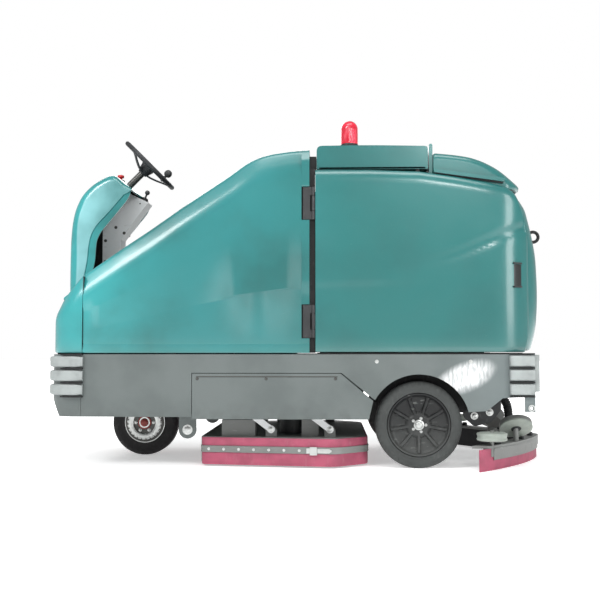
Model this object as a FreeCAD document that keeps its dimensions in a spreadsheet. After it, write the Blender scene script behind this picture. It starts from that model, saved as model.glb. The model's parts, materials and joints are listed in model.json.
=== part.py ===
"""Ride-on floor scrubber: a driven front wheel, a lifting twin-brush deck and a trailing squeegee.

Frame, in millimetres: +X points to the tail, -Y is the machine's left side, +Z is up and the
floor is at zero. The origin is under the middle of the machine.
"""
import FreeCAD, Part
import Sketcher
import math
import os
from FreeCAD import Placement, Rotation, Vector

SIZES = {
    # whole machine and chassis
    "half_length": 1215, "frame_half": 560, "plate": 8, "frame_bottom": 236, "floor_top": 525,
    "floor_plate": 20, "nose_seam": -1042, "nose_front": -1211, "nose_radius": 150, "nose_step": 5,
    "seam_gap": 1.5, "side_end": 1052, "pad_depth": 25, "pad_gap": 7, "pad_height": 58,
    "pads_low": 340, "front_pad_start": -1212, "front_pad_end": -1034, "rear_pad_start": 936,
    "rail_in": 340, "rail_out": 380, "rail_depth": 60, "bumper_depth": 20,
    # rear wheels and axle
    "wheel_x": 524, "wheel_r": 200, "rim_r": 148, "tyre_in": 440, "tyre_out": 535,
    "stub_r": 17.5, "hub_r": 44, "arch_gap": 33, "beam": 60, "running": 0.05,
    # driven front wheel
    "drive_x": -850, "drive_r": 169, "drive_rim": 105, "drive_half": 48, "axle_r": 15,
    "kingpin_r": 30, "fork_top": 430, "fork_plate": 15, "turntable_r": 150,
    # steering
    "steer_x": -846, "steer_z": 1529, "steer_tilt": 45, "steer_r": 163, "rim_tube": 12.5,
    "column_shaft_x": -1041, "joint_z": 1332, "shaft_r": 12, "sprocket_small": 30,
    "sprocket_big": 110, "chain_z": 457, "chain_high": 9, "chain_thick": 6, "chain_gap": 0.4,
    # service panels over the brush deck
    "panel_front": -524, "panel_rear": 293, "panel_top": 436, "panel_bottom": 226,
    "panel_gap": 3, "panel_slope_x": 165, "panel_slope_z": 311, "panel_slope_end": 316,
    # teal body
    "body_half": 555, "body_low": 530, "shell": 8, "side_depth": 90, "side_end_x": 20,
    "slope_low": 905, "side_top": 1494, "shroud_half": 250, "nose_top_front": 772,
    "column_half": 55, "column_wall": 5,
    # tail, doors, hood and lid
    "door_front": 53, "door_low": 534, "door_top": 1392, "door_skin": 10, "door_return": 50,
    "hinge_x": 38, "hinge_y": 550, "hinge_pin": 4, "knuckle_r": 8, "hinge_low": 602,
    "hinge_high": 1154, "hinge_tall": 152, "handle_low": 845, "handle_high": 938,
    "hood_half": 500, "hood_low": 1400, "hood_top": 1514, "hood_rear": 578,
    "lid_front": 603, "lid_half": 515, "tank_half": 470, "tank_front": 430, "tank_rear": 1118,
    "tank_radius": 150, "solution_front": 62, "solution_rear": 420, "solution_top": 1250,
    "beacon_x": 220, "beacon_r": 45, "beacon_top": 1761, "beacon_cup": 1612,
    # operator's place
    "seat_top": 900, "seat_front": -720, "mat": 15, "cushion": 84, "seat_half": 240,
    "pedal_pin": 5, "pedal_half": 40, "drive_pedal_y": 230, "brake_pedal_y": -230,
    # brush deck
    "deck_plate_z": 138, "deck_top": 12, "deck_wall": 8, "apron_low": 22, "skirt_low": 8,
    "skirt_top": 135,
    "skirt_front_x": -495, "skirt_front_y": 470, "skirt_mid_x": 140, "skirt_mid_y": 560,
    "skirt_rear_x": 295, "skirt_rear_y": 424, "skirt_thick": 13, "strap_low": 65,
    "strap_high": 98, "strap_thick": 4, "brush_x": -60, "brush_y": 240, "brush_r": 235,
    "motor_r": 75, "link_front": -333, "link_rear": -56, "link_top_z": 299,
    "link_run": 170, "link_drop": 126, "link_in": 462, "link_thick": 12, "link_pin": 8,
    # squeegee
    "squeegee_nose": 1178, "lean": 0.265, "bow": 0.000539, "squeegee_half": 650,
    "retainer_half": 600, "blade": 6, "blade_low": 0, "blade_top": 99, "retainer": 12,
    "front_blade_back": 62, "arm_pivot_x": 800, "arm_pivot_z": 310, "yaw_x": 955, "yaw_r": 10,
    "roller_x": 850, "roller_y": 575, "roller_r": 70, "roller_low": 132, "roller_tall": 40,
    "hose_r": 25, "hose_x": 1040, "spout_top": 150, "hose_entry_x": 840,
}

doc = FreeCAD.newDocument("FloorScrubber")
sheet = doc.addObject("Spreadsheet::Sheet", "Sizes")
nodes = []


class Size:
    """A number together with the sheet formula that it comes from."""

    def __init__(self, value, text):
        self.value = float(value)
        self.text = text

    def __add__(self, other):
        other = size(other)
        return Size(self.value + other.value, f"({self.text} + {other.text})")

    def __sub__(self, other):
        other = size(other)
        return Size(self.value - other.value, f"({self.text} - {other.text})")

    def __mul__(self, other):
        other = size(other)
        return Size(self.value * other.value, f"({self.text} * {other.text})")

    def __truediv__(self, other):
        other = size(other)
        return Size(self.value / other.value, f"({self.text} / {other.text})")

    def __neg__(self):
        return Size(-self.value, f"(0 - {self.text})")

    def __radd__(self, other):
        return size(other) + self

    def __rsub__(self, other):
        return size(other) - self

    def __rmul__(self, other):
        return size(other) * self


def size(number):
    """Take a plain number or a Size as a Size."""
    if isinstance(number, Size):
        return number
    return Size(number, f"({float(number)!r})")


def root(number):
    """The square root of a Size."""
    return Size(math.sqrt(number.value), f"sqrt({number.text})")


class Sheet:
    """The driving dimensions, one named cell each."""

    def __init__(self, table):
        for row, (name, value) in enumerate(table.items(), start=1):
            sheet.set(f"A{row}", str(float(value)))
            sheet.setAlias(f"A{row}", name)
            setattr(self, name, Size(value, f"Sizes.{name}"))


s = Sheet(SIZES)
doc.recompute()


def bind(thing, **formulas):
    """Set number properties of an object and tie them to the sheet."""
    for name, formula in formulas.items():
        formula = size(formula)
        setattr(thing, name, formula.value)
        thing.setExpression(name, formula.text)


def put(thing, at, rotation=None):
    """Place an object at a point worked out from the sheet."""
    at = [size(one) for one in at]
    turn = rotation or Rotation()
    thing.Placement = Placement(Vector(*[one.value for one in at]), turn)
    for axis, one in zip("xyz", at):
        thing.setExpression(f".Placement.Base.{axis}", one.text)
    return thing


def box(x, y, z):
    """A block between two faces along each axis."""
    block = doc.addObject("Part::Box", "Block")
    bind(block, Length=x[1] - size(x[0]), Width=y[1] - size(y[0]), Height=z[1] - size(z[0]))
    return put(block, (x[0], y[0], z[0]))


TURNS = {
    "x": Rotation(Vector(0, 1, 0), 90),
    "y": Rotation(Vector(1, 0, 0), -90),
    "z": Rotation(),
}


def rod(axis, at, radius, span):
    """A cylinder along an axis: at gives the two other coordinates in X, Y, Z order."""
    bar = doc.addObject("Part::Cylinder", "Bar")
    bind(bar, Radius=radius, Height=span[1] - size(span[0]))
    place = list(at)
    place.insert("xyz".index(axis), span[0])
    return put(bar, place, TURNS[axis])


def sketch(body, plane, outline, offset):
    """Draw a closed outline on one of a body's planes, every corner tied to the sheet."""
    drawing = body.newObject("Sketcher::SketchObject", "Outline")
    support = [one for one in body.Origin.OriginFeatures if one.Role == plane][0]
    drawing.AttachmentSupport = [(support, "")]
    drawing.MapMode = "FlatFace"
    offset = size(offset)
    drawing.AttachmentOffset = Placement(Vector(0, 0, offset.value), Rotation())
    drawing.setExpression("AttachmentOffset.Base.z", offset.text)
    corners = [(size(a), size(b)) for a, b in outline]
    ends = [Vector(a.value, b.value, 0) for a, b in corners]
    count = len(ends)
    for index in range(count):
        drawing.addGeometry(Part.LineSegment(ends[index], ends[(index + 1) % count]), False)
    for index in range(count):
        joined = Sketcher.Constraint("Coincident", index, 2, (index + 1) % count, 1)
        drawing.addConstraint(joined)
    for index, corner in enumerate(corners):
        for kind, one in zip(("DistanceX", "DistanceY"), corner):
            fixed = drawing.addConstraint(Sketcher.Constraint(kind, -1, 1, index, 1, one.value))
            drawing.renameConstraint(fixed, f"{kind}{index}")
            drawing.setExpression(f"Constraints.{kind}{index}", one.text)
    return drawing


def pad(plane, outline, span):
    """Extrude an outline: plane XZ along Y, plane XY along Z, plane YZ along X."""
    body = doc.addObject("PartDesign::Body", "Profile")
    low, high = size(span[0]), size(span[1])
    start = -high if plane == "XZ" else low
    drawing = sketch(body, f"{plane}_Plane", outline, start)
    block = body.newObject("PartDesign::Pad", "Pad")
    block.Profile = drawing
    bind(block, Length=high - low)
    return body


def turned(outline):
    """Turn an outline of radius and height about the vertical axis."""
    body = doc.addObject("PartDesign::Body", "Turned")
    drawing = sketch(body, "XZ_Plane", outline, 0)
    spun = body.newObject("PartDesign::Revolution", "Revolution")
    spun.Profile = drawing
    spun.ReferenceAxis = (drawing, ["V_Axis"])
    spun.Angle = 360
    return body


def cut(base, *tools):
    """Take the tools away from the base."""
    result = doc.addObject("Part::Cut", "Cut")
    result.Base = base
    result.Tool = tools[0] if len(tools) == 1 else fuse(*tools)
    return result


def fuse(*pieces):
    """Join pieces into one solid."""
    result = doc.addObject("Part::MultiFuse", "Joined")
    result.Shapes = list(pieces)
    result.Refine = True
    return result


def common(one, other):
    """Keep what two pieces share."""
    result = doc.addObject("Part::Common", "Shared")
    result.Base = one
    result.Tool = other
    return result


def group(*pieces):
    """Keep separate solids together as one sub-part."""
    result = doc.addObject("Part::Compound", "Set")
    result.Links = list(pieces)
    return result


def mirrored(piece):
    """The same piece on the other side of the middle plane."""
    result = doc.addObject("Part::Mirroring", "Mirror")
    result.Source = piece
    result.Normal = Vector(0, 1, 0)
    return result


def both(piece):
    """A piece and its mirror image, as a list."""
    return [piece, mirrored(piece)]


def rounded(piece, radius, corners):
    """Round the upright edges that stand at the given X, Y corners."""
    doc.recompute()
    wanted = [(size(x).value, size(y).value) for x, y in corners]
    chosen = []
    for number, edge in enumerate(piece.Shape.Edges, start=1):
        ends = [vertex.Point for vertex in edge.Vertexes]
        if len(ends) != 2 or abs(ends[0].z - ends[1].z) < 1:
            continue
        for x, y in wanted:
            if all(math.hypot(end.x - x, end.y - y) < 0.5 for end in ends):
                chosen.append((number, size(radius).value, size(radius).value))
    result = doc.addObject("Part::Fillet", "Rounded")
    result.Base = piece
    result.Edges = chosen
    return result


def node(label, piece):
    """Name a finished sub-part."""
    piece.Label = label
    nodes.append(piece)
    return piece


def left_right(name, build):
    """Make the left sub-part and its mirror image on the right."""
    node(f"{name}_left", build())
    node(f"{name}_right", mirrored(build()))


# ---------------------------------------------------------------- chassis

def side_plate():
    """The right-hand side plate, cut away for the service panel and over the rear wheel."""
    gap = s.panel_gap
    outline = [
        (s.nose_seam, s.frame_bottom),
        (s.panel_front - gap, s.frame_bottom),
        (s.panel_front - gap, s.panel_top + gap),
        (s.panel_slope_x + gap, s.panel_top + gap),
        (s.panel_slope_end + gap * 2, s.panel_slope_z + gap),
        (s.wheel_x, s.wheel_r),
        (750, 261), (831, 266), (905, 325), (1005, 330), (1005, 262),
        (s.side_end, 262), (s.side_end, s.floor_top), (s.nose_seam, s.floor_top),
    ]
    plate = pad("XZ", outline, (s.frame_half - s.plate, s.frame_half))
    around = (s.frame_half - s.plate * 2, s.frame_half + s.plate)
    arch = rod("y", (s.wheel_x, s.wheel_r), s.wheel_r + s.arch_gap, around)
    tie_down = rod("y", (s.side_end - 17, 279), 7, around)
    return cut(plate, arch, tie_down)


def hanger(x, half, y, z_low):
    """An upright bracket plate that hangs from the floor plate."""
    return box((x - half, x + half), y, (z_low, s.floor_top - s.floor_plate))


def link_bracket(x):
    """The hanger that carries the upper pin of a deck link."""
    inner = s.link_in + s.link_thick + 4
    plate = hanger(x, 30, (inner, inner + 10), s.link_top_z - 30)
    bore = rod("y", (x, s.link_top_z), s.link_pin + s.running, (inner - 1, inner + 11))
    return cut(plate, bore)


def lug():
    """The rounded lug with its cross bore, behind the front wheel."""
    strap = hanger(-561, 41, (438, 450), 168)
    eye = rod("y", (-561, 168), 42, (438, 450))
    return fuse(strap, eye)


def axle_beam():
    """The dead rear axle with its stubs, hung from the floor plate."""
    half = s.beam / 2
    stub_end = s.tyre_out + 3
    stub = rod("y", (s.wheel_x, s.wheel_r), s.stub_r, (-stub_end, stub_end))
    beam = box((s.wheel_x - half, s.wheel_x + half), (-430, 430), (s.wheel_r - half, s.wheel_r + half))
    strut = cut(hanger(s.wheel_x, half, (s.rail_out, s.rail_out + 24), s.wheel_r), beam)
    return fuse(beam, stub, *both(strut))


def chassis():
    """The welded frame: floor plate, side plates, rails, axle, lugs and pivot brackets."""
    under = s.floor_top - s.floor_plate
    inside = s.frame_half - s.plate
    floor = box((s.nose_seam, s.side_end), (-inside, inside), (under, s.floor_top))
    rail = box((-600, 1000), (s.rail_in, s.rail_out), (under - s.rail_depth, under))
    housing = rod("z", (s.drive_x, 0), s.kingpin_r + 40, (under - 35, under))
    through = (under - 60, s.floor_top + 5)
    kingpin = rod("z", (s.drive_x, 0), s.kingpin_r + s.running, through)
    holes = [
        kingpin,
        rod("z", (s.column_shaft_x, 0), s.shaft_r + s.running, through),
        rod("z", (s.hose_entry_x, 0), 45, through),
    ]
    arm_ear = cut(
        hanger(s.arm_pivot_x, 22, (74, 84), s.arm_pivot_z - 22),
        rod("y", (s.arm_pivot_x, s.arm_pivot_z), s.link_pin + s.running, (73, 85)),
    )
    pieces = [cut(floor, *holes), cut(housing, kingpin), axle_beam()]
    for piece in (side_plate(), rail, lug(), arm_ear):
        pieces += both(piece)
    for x in (s.link_front, s.link_rear):
        pieces += both(link_bracket(x))
    return node("chassis", group(*pieces))


def nose_block(inset, rear, low, high, side=None):
    """A block whose two front corners are rounded in plan, as wide as the frame or the body."""
    half = (side or s.frame_half) - inset
    front = s.nose_front + inset
    block = box((front, rear), (-half, half), (low, high))
    return rounded(block, s.nose_radius - inset, [(front, -half), (front, half)])


def nose_plate():
    """The bent nose of the chassis with its raked lower edge."""
    rear = s.nose_seam - s.seam_gap
    outer = nose_block(size(0), rear, s.frame_bottom, s.floor_top)
    inner = nose_block(s.plate, rear + 5, s.frame_bottom - 5, s.floor_top + 5)
    rake = pad("XZ", [
        (s.nose_front - 5, s.frame_bottom - 5), (s.nose_front + 62, s.frame_bottom - 5),
        (s.nose_front - 1, 341), (s.nose_front - 5, 341),
    ], (-s.frame_half - 5, s.frame_half + 5))
    return node("nose_plate", cut(outer, inner, rake))


def pad_stack(make):
    """Three pads one above the other."""
    stack = []
    for index in range(3):
        low = s.pads_low + index * (s.pad_height + s.pad_gap) - 8
        stack.append(make(low, low + s.pad_height))
    return stack


def corner_pads():
    """The grey rubbing pads on the four corners."""
    def front_pad(low, high):
        ring = cut(nose_block(-s.pad_depth, s.front_pad_end, low, high),
                   nose_block(-s.seam_gap / 3, s.front_pad_end + 5, low - 5, high + 5))
        kept = box((s.front_pad_start, s.front_pad_end), (440, 700), (low - 1, high + 1))
        return common(ring, kept)

    def rear_pad(low, high):
        out = s.frame_half + s.seam_gap / 3
        return box((s.rear_pad_start, s.side_end - 3), (out, out + s.pad_depth), (low + 4, high + 4))

    pieces = []
    for piece in pad_stack(front_pad) + pad_stack(rear_pad):
        pieces += both(piece)
    return node("corner_pads", group(*pieces))


def rear_bumper():
    """The rubber-faced beam across the tail of the chassis."""
    front = s.side_end + s.seam_gap
    half = s.frame_half - 20
    beam = box((front, front + s.bumper_depth), (-half, half), (353, s.floor_top - 1))
    rear = front + s.bumper_depth
    return node("rear_bumper", rounded(beam, 14, [(rear, -half), (rear, half)]))


# ---------------------------------------------------------------- body

def nose_slope(inset):
    """Everything above the sloping top of the nose."""
    rise = (s.slope_low - s.nose_top_front) / (s.nose_seam - s.nose_front)
    low = s.nose_top_front - inset
    high = s.slope_low - inset
    return pad("XZ", [
        (s.nose_front - 50, low - rise * 50), (s.nose_seam + 50, high + rise * 50),
        (s.nose_seam + 50, high + 300), (s.nose_front - 50, high + 300),
    ], (-s.frame_half - 50, s.frame_half + 50))


def nose_fairing():
    """The teal nose, open to the rear and below, with a hole for the column."""
    side = s.body_half + s.nose_step
    rear = s.nose_seam - s.seam_gap
    outer = cut(nose_block(s.nose_step, rear, s.body_low, s.slope_low + 5, side),
                nose_slope(size(0)))
    inner = cut(nose_block(s.nose_step + s.shell, rear + 5, s.body_low - 5, s.slope_low + 5, side),
                nose_slope(s.shell * 1.2))
    hole = box((-1150, s.nose_seam), (-150, 150), (780, 950))
    return node("nose_fairing", cut(outer, inner, hole))


def hinge_pockets():
    """The pockets in a side panel where the door hinges sit."""
    pockets = []
    for low in (s.hinge_low, s.hinge_high):
        x = (s.side_end_x - 36, s.side_end_x + 5)
        y = (s.body_half - 16, s.body_half + 5)
        pockets.append(box(x, y, (low - 3, low + s.hinge_tall + 3)))
    return pockets


def side_panel(front_part):
    """A hollow side panel of inverted-U section, under the given front part of its top line."""
    crown = [(-448, 1310), (-358, 1372), (-280, 1430), (-220, 1461), (-160, 1476), (-60, 1488)]
    start = s.nose_seam + s.seam_gap

    def block(inset):
        top = front_part + crown + [(s.side_end_x, s.side_top)]
        lifted = [(x, z - inset * 1.3) for x, z in top]
        lifted[0] = (start + inset, lifted[0][1])
        lifted[-1] = (s.side_end_x - inset, lifted[-1][1])
        low = s.body_low - inset
        outline = [(start + inset, low)] + lifted + [(s.side_end_x - inset, low)]
        y = (s.body_half - s.side_depth + inset, s.body_half - inset)
        return pad("XZ", outline, y)

    return cut(block(size(0)), block(s.shell), *hinge_pockets())


def body_sides():
    """The long sloping panel on the left, and the one with the way in on the right."""
    slope = [(s.nose_seam, s.slope_low), (-873, 1023), (-729, 1118), (-597, 1212)]
    entry = [(s.nose_seam, s.slope_low), (-985, 948), (-955, 620), (-560, 620), (-500, 1240)]
    node("body_side_left", mirrored(side_panel(slope)))
    node("body_side_right", side_panel(entry))


def shroud_block(inset):
    """The solid outline of the front shroud, drawn in by a wall."""
    front = -s.half_length
    outline = [
        (front + 2 + inset, 778), (front + 1 + inset, 849), (front + inset, 1000),
        (front + 3 + inset, 1130), (front + 14 + inset, 1220), (front + 36 + inset, 1290),
        (front + 68 + inset, 1345), (-1093 + inset * 0.6, 1396 - inset),
        (-1035, 1429 - inset), (-990, 1444 - inset), (-974 - inset * 0.3, 1438 - inset * 1.2),
        (-869 - inset * 0.3, 1348 - inset * 1.2), (-977, 1225), (-1032, 1160), (-1057, 1120),
        (-1071, 1074), (-1075, 994), (-1108, 859),
    ]
    half = s.shroud_half - inset
    return pad("XZ", outline, (-half, half))


def steering_line(radius, span):
    """A round bar along the steering shaft's tilted line."""
    bar = rod("z", (0, 0), radius, span)
    holder = fuse(bar, rod("z", (0, 0), radius / 2, span))
    return put(holder, (s.steer_x, 0, s.steer_z), Rotation(Vector(0, 1, 0), s.steer_tilt.value))


def front_shroud():
    """The teal shroud round the steering column, open behind, with the stop button's collar."""
    opening = pad("XZ", [
        (-877, 1352), (-990, 1225), (-1045, 1160), (-1070, 1120), (-1084, 1074), (-1088, 994),
        (-1121, 858), (-1190, 700), (-700, 700), (-700, 1200), (-860, 1340),
    ], (-s.shroud_half + s.shell, s.shroud_half - s.shell))
    hollow = cut(shroud_block(size(0)), shroud_block(s.shell), opening)
    collar = rod("z", (-1016, 60), 20, (1424, 1464))
    bore = rod("z", (-1016, 60), 8 + s.running, (1400, 1475))
    shaft_hole = steering_line(24, (-260, -60))
    lever_slot = box((-905, -840), (-14, 14), (1320, 1420))
    return node("front_shroud", cut(fuse(hollow, collar), bore, shaft_hole, lever_slot))


def seat_box():
    """The folded bulkhead under and behind the seat, with the two seat rails."""
    wall = s.shell
    half = s.body_half - s.side_depth - s.seam_gap
    outline = [
        (s.seat_front, s.floor_top + s.mat), (s.seat_front, s.seat_top), (-215, s.seat_top),
        (-165, 1465), (s.side_end_x, 1484), (s.side_end_x, 1484 - wall), (-157, 1465 - wall),
        (-207, s.seat_top - wall), (s.seat_front + wall, s.seat_top - wall),
        (s.seat_front + wall, s.floor_top + s.mat),
    ]
    sheet_metal = pad("XZ", outline, (-half, half))
    rail = box((-660, -290), (150, 170), (s.seat_top - 1, s.seat_top + 5))
    return node("seat_box", fuse(sheet_metal, *both(rail)))


def pedal_ears(y):
    """Two ears that hold a pedal's cross pin."""
    top = s.floor_top + s.mat
    ears = []
    for side in (-1, 1):
        middle = y + side * (s.pedal_half + 6)
        ear = box((-1102, -1078), (middle - 4, middle + 4), (top, top + 28))
        ears.append(cut(ear, rod("y", (-1090, top + 16), s.pedal_pin + s.running,
                                 (middle - 6, middle + 6))))
    return ears


def operator_floor():
    """The mat the operator stands and steps on, with a notch for the column."""
    half = s.body_half - s.side_depth - s.seam_gap
    mat = box((-1185, s.seat_front - 2), (-half, half), (s.floor_top, s.floor_top + s.mat))
    notch = box((-1095, -973), (-65, 65), (s.floor_top - 5, s.floor_top + s.mat + 5))
    wells = nose_block(s.shell + 8, s.seat_front, s.floor_top - 2, s.floor_top + 60)
    ears = pedal_ears(s.drive_pedal_y) + pedal_ears(s.brake_pedal_y)
    return node("operator_floor", group(common(cut(mat, notch), wells), *ears))


# ---------------------------------------------------------------- tanks, power, tail

def tank_block(inset):
    """The recovery tank's outer form, whose rear is the machine's tail."""
    rear = s.tank_rear - inset
    outline = [
        (s.tank_front + inset, s.body_low + 11 + inset), (rear - 32, s.body_low + 11 + inset),
        (rear - 8, 690), (rear, 830), (rear - 6, 1000), (rear - 26, 1110), (rear - 56, 1235),
        (rear - 104, 1284 - inset), (rear - 143, 1300 - inset), (s.lid_front - 20, 1356 - inset),
        (s.tank_front + inset, 1376 - inset),
    ]
    half = s.tank_half - inset
    profile = pad("XZ", outline, (-half, half))
    plan = box((s.tank_front - 10, rear), (-half - 1, half + 1), (500, 1500))
    corners = [(rear, -half - 1), (rear, half + 1)]
    return common(profile, rounded(plan, s.tank_radius - inset, corners))


def recovery_tank():
    """The tank for dirty water, with its mouth under the lid, hose stub and hinge wall."""
    mouth = box((660, 900), (-230, 230), (1250, 1400))
    wall = box((s.hood_rear + 8, s.lid_front - 4), (-s.hood_half + 4, s.hood_half - 4),
               (1340, s.hood_top + 4))
    stub = rod("z", (s.hose_entry_x, 0), s.hose_r + 3, (400, 560))
    bore = rod("z", (s.hose_entry_x, 0), s.hose_r, (390, 570))
    shell = cut(tank_block(size(0)), tank_block(s.shell), mouth)
    return node("recovery_tank", cut(fuse(shell, wall, stub), bore))


def solution_tank():
    """The clean water tank with its filling hole."""
    def block(inset):
        return box((s.solution_front + inset, s.solution_rear - inset),
                   (-s.tank_half + inset, s.tank_half - inset),
                   (s.body_low + 11 + inset, s.solution_top - inset))
    filler = rod("z", (150, -300), 60, (s.solution_top - 20, s.solution_top + 20))
    return node("solution_tank", cut(block(size(0)), block(s.shell), filler))


def battery_pack():
    """The battery cells under the seat."""
    cells = []
    for x in (-640, -352):
        for y in (-330, 4):
            cells.append(box((x, x + 284), (y, y + 326), (s.floor_top + 0.5, s.floor_top + 300)))
    return node("battery_pack", group(*cells))


def vacuum_motor():
    """The suction motor on the clean water tank."""
    base = rod("z", (240, 0), 95, (s.solution_top, s.solution_top + 60))
    can = rod("z", (240, 0), 70, (s.solution_top + 59, s.solution_top + 135))
    return node("vacuum_motor", fuse(base, can))


def tail_handle():
    """The black grab ring on its strip, on the tail."""
    reach = s.half_length - 35
    ring = doc.addObject("Part::Torus", "Ring")
    bind(ring, Radius1=28, Radius2=7, Angle3=360)
    put(ring, (reach, 0, 1136), Rotation(Vector(1, 0, 0), 90))
    leg = box((s.tank_rear - 45, reach - 26), (-7, 7), (1128, 1144))
    strip = box((s.tank_rear - 10, s.tank_rear + 2), (-16, 16), (1000, 1176))
    return node("tail_handle", cut(fuse(ring, leg, strip), tank_block(-0.3)))


def door_block(inset, low, top):
    """A side door's outer form: flat, then curved in towards the tail."""
    half = s.body_half - inset
    plan = [
        (s.door_front + inset, half), (880, half), (956 - inset * 0.2, half - 14),
        (1016 - inset * 0.5, half - 48), (1048 - inset * 0.7, half - 82),
        (1036 - inset * 0.7, half - 95), (990, s.body_half - s.door_return - inset * 0.1),
        (s.door_front + inset, s.body_half - s.door_return - inset * 0.1),
    ]
    rear = 1052 - inset
    profile = [
        (s.door_front, low), (rear - 12, low), (rear, 690), (rear, 1040), (rear - 12, 1110),
        (rear - 36, 1236 - inset), (rear - 84, 1302 - inset), (536, top - 10 - inset),
        (s.door_front, top - inset),
    ]
    return common(pad("XY", plan, (low, top + 5)), pad("XZ", profile, (400, 600)))


def door_knuckles():
    """The door's half of its two hinges."""
    pieces = []
    for low in (s.hinge_low, s.hinge_high):
        z = (low + s.hinge_tall * 0.26, low + s.hinge_tall * 0.74)
        barrel = rod("z", (s.hinge_x, s.hinge_y), s.knuckle_r, z)
        leaf = box((s.hinge_x, s.door_front + 2), (s.hinge_y - 4, s.hinge_y + 1), z)
        pieces.append(fuse(barrel, leaf))
    return pieces


def side_door():
    """The swing-out side of the tail, with the window for its handle."""
    skin = cut(door_block(size(0), s.door_low, s.door_top),
               door_block(s.door_skin, s.door_low - 5, s.door_top))
    window = pad("XY", [(970, 548), (1014, 522), (996, 490), (952, 517)],
                 (s.handle_low - 4, s.handle_high + 4))
    whole = fuse(cut(skin, window), *door_knuckles())
    hinge_bore = rod("z", (s.hinge_x, s.hinge_y), s.hinge_pin + s.running,
                     (s.door_low, s.door_top))
    handle_bore = rod("z", (979, 523), 2.5 + s.running, (s.handle_low - 9, s.handle_high + 9))
    frame = pad("XY", [(975, 531), (986, 525), (982, 517), (970, 524)],
                (s.handle_low - 12, s.handle_high + 12))
    cleared = box((900, 1100), (400, 600), (s.handle_low - 3, s.handle_high + 3))
    return cut(fuse(whole, cut(frame, cleared)), hinge_bore, handle_bore)


def door_handle():
    """The paddle in the door's window, turning on its front pin."""
    paddle = pad("XY", [(976, 527), (1004, 511), (1000, 504), (974, 519)],
                 (s.handle_low, s.handle_high))
    pin = rod("z", (979, 523), 2.5, (s.handle_low - 8, s.handle_high + 8))
    return fuse(paddle, pin)


def door_hinges():
    """The fixed leaves, outer knuckles and pins of the four door hinges."""
    pieces = []
    for low in (s.hinge_low, s.hinge_high):
        high = low + s.hinge_tall
        near = low + s.hinge_tall * 0.25
        far = low + s.hinge_tall * 0.75
        pin = rod("z", (s.hinge_x, s.hinge_y), s.hinge_pin, (low, high))
        leaf = box((s.side_end_x - 30, s.side_end_x + 3), (s.hinge_y - 4, s.hinge_y), (low, high))
        parts = [pin, leaf]
        for z in ((low, near), (far, high)):
            parts.append(rod("z", (s.hinge_x, s.hinge_y), s.knuckle_r, z))
            parts.append(box((s.side_end_x, s.hinge_x), (s.hinge_y - 4, s.hinge_y + 1), z))
        pieces += both(fuse(*parts))
    return node("door_hinges", group(*pieces))


def hood():
    """The lift-up cover over the pumps and the clean water tank."""
    def block(inset, low):
        return box((s.door_front + 1 + inset, s.hood_rear - inset),
                   (-s.hood_half + inset, s.hood_half - inset), (low, s.hood_top - inset))
    return node("hood", cut(block(size(0), s.hood_low), block(s.shell, s.hood_low - 5)))


def beacon():
    """The warning light: a cup on a stalk and a domed lens over it."""
    x = s.beacon_x
    stalk = rod("z", (x, 0), 14, (s.hood_top, s.beacon_cup + 5))
    foot = rod("z", (x, 0), 34, (s.hood_top, s.hood_top + 8))
    cup = rod("z", (x, 0), s.beacon_r + 2, (s.beacon_cup, s.beacon_cup + 22))
    node("beacon_base", fuse(stalk, foot, cup))
    base = s.beacon_cup + 22
    wall = s.column_wall - 2

    def dome(radius, low, top):
        ball = doc.addObject("Part::Sphere", "Dome")
        bind(ball, Radius=radius)
        put(ball, (x, 0, top - radius))
        return fuse(rod("z", (x, 0), radius, (low, top - radius)), ball)

    lens = cut(dome(s.beacon_r, base, s.beacon_top),
               dome(s.beacon_r - wall, base - 1, s.beacon_top - wall))
    return node("beacon_lens", lens)


def rear_lid():
    """The curved lid over the recovery tank's mouth."""
    def block(inset, under):
        outline = [
            (s.lid_front + inset, 1372 - under), (s.lid_front + inset, 1481 - inset),
            (706, 1468 - inset), (777, 1457 - inset), (847, 1436 - inset),
            (916 - inset * 0.3, 1404 - inset), (963 - inset * 0.5, 1372 - inset * 0.9),
            (1025 - inset, 1313 - inset * 0.6), (1013 - inset, 1294 - under), (975, 1318 - under),
        ]
        half = s.lid_half - inset
        plan = box((s.lid_front - 5, 1030 - inset), (-half, half), (1200, 1600))
        corners = [(1030 - inset, -half), (1030 - inset, half)]
        return common(pad("XZ", outline, (-half, half)), rounded(plan, 130 - inset, corners))
    return node("rear_lid", cut(block(size(0), 0), block(s.shell, 12)))


# ---------------------------------------------------------------- steering and drive

def steering_column():
    """The bent sheet-metal column, open to the front."""
    def block(inset, front):
        outline = [
            (-1081 - front, s.floor_top + 0.5 - front), (-1081 - front, 1178 + inset),
            (-952 - front * 1.4, 1376 - inset), (-842 - inset * 1.2, 1322 - inset * 1.2),
            (-985 - inset, 1128), (-985 - inset, s.floor_top + 0.5 - front),
        ]
        half = s.column_half - inset
        return pad("XZ", outline, (-half, half))
    slot = box((-915, -850), (-14, 14), (1322, 1400))
    pin = rod("y", (-885, 1316), 4 + s.running, (-70, 70))
    return node("steering_column", cut(block(size(0), 0), block(s.column_wall, 12), slot, pin))


def direction_lever():
    """The short black lever at the top of the column."""
    stalk = put(rod("z", (0, 0), 5, (0, 66)), (-885, 0, 1316), Rotation(Vector(0, 1, 0), 22))
    knob = doc.addObject("Part::Sphere", "Knob")
    bind(knob, Radius=13)
    put(knob, (-858, 0, 1383))
    pin = rod("y", (-885, 1316), 4, (-s.column_half + 1, s.column_half - 1))
    return node("direction_lever", fuse(stalk, knob, pin))


def emergency_stop():
    """The red mushroom button in its collar."""
    stem = rod("z", (-1016, 60), 8, (1422, 1484))
    head = rod("z", (-1016, 60), 18, (1474, 1492))
    return node("emergency_stop", fuse(stem, head))


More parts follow.
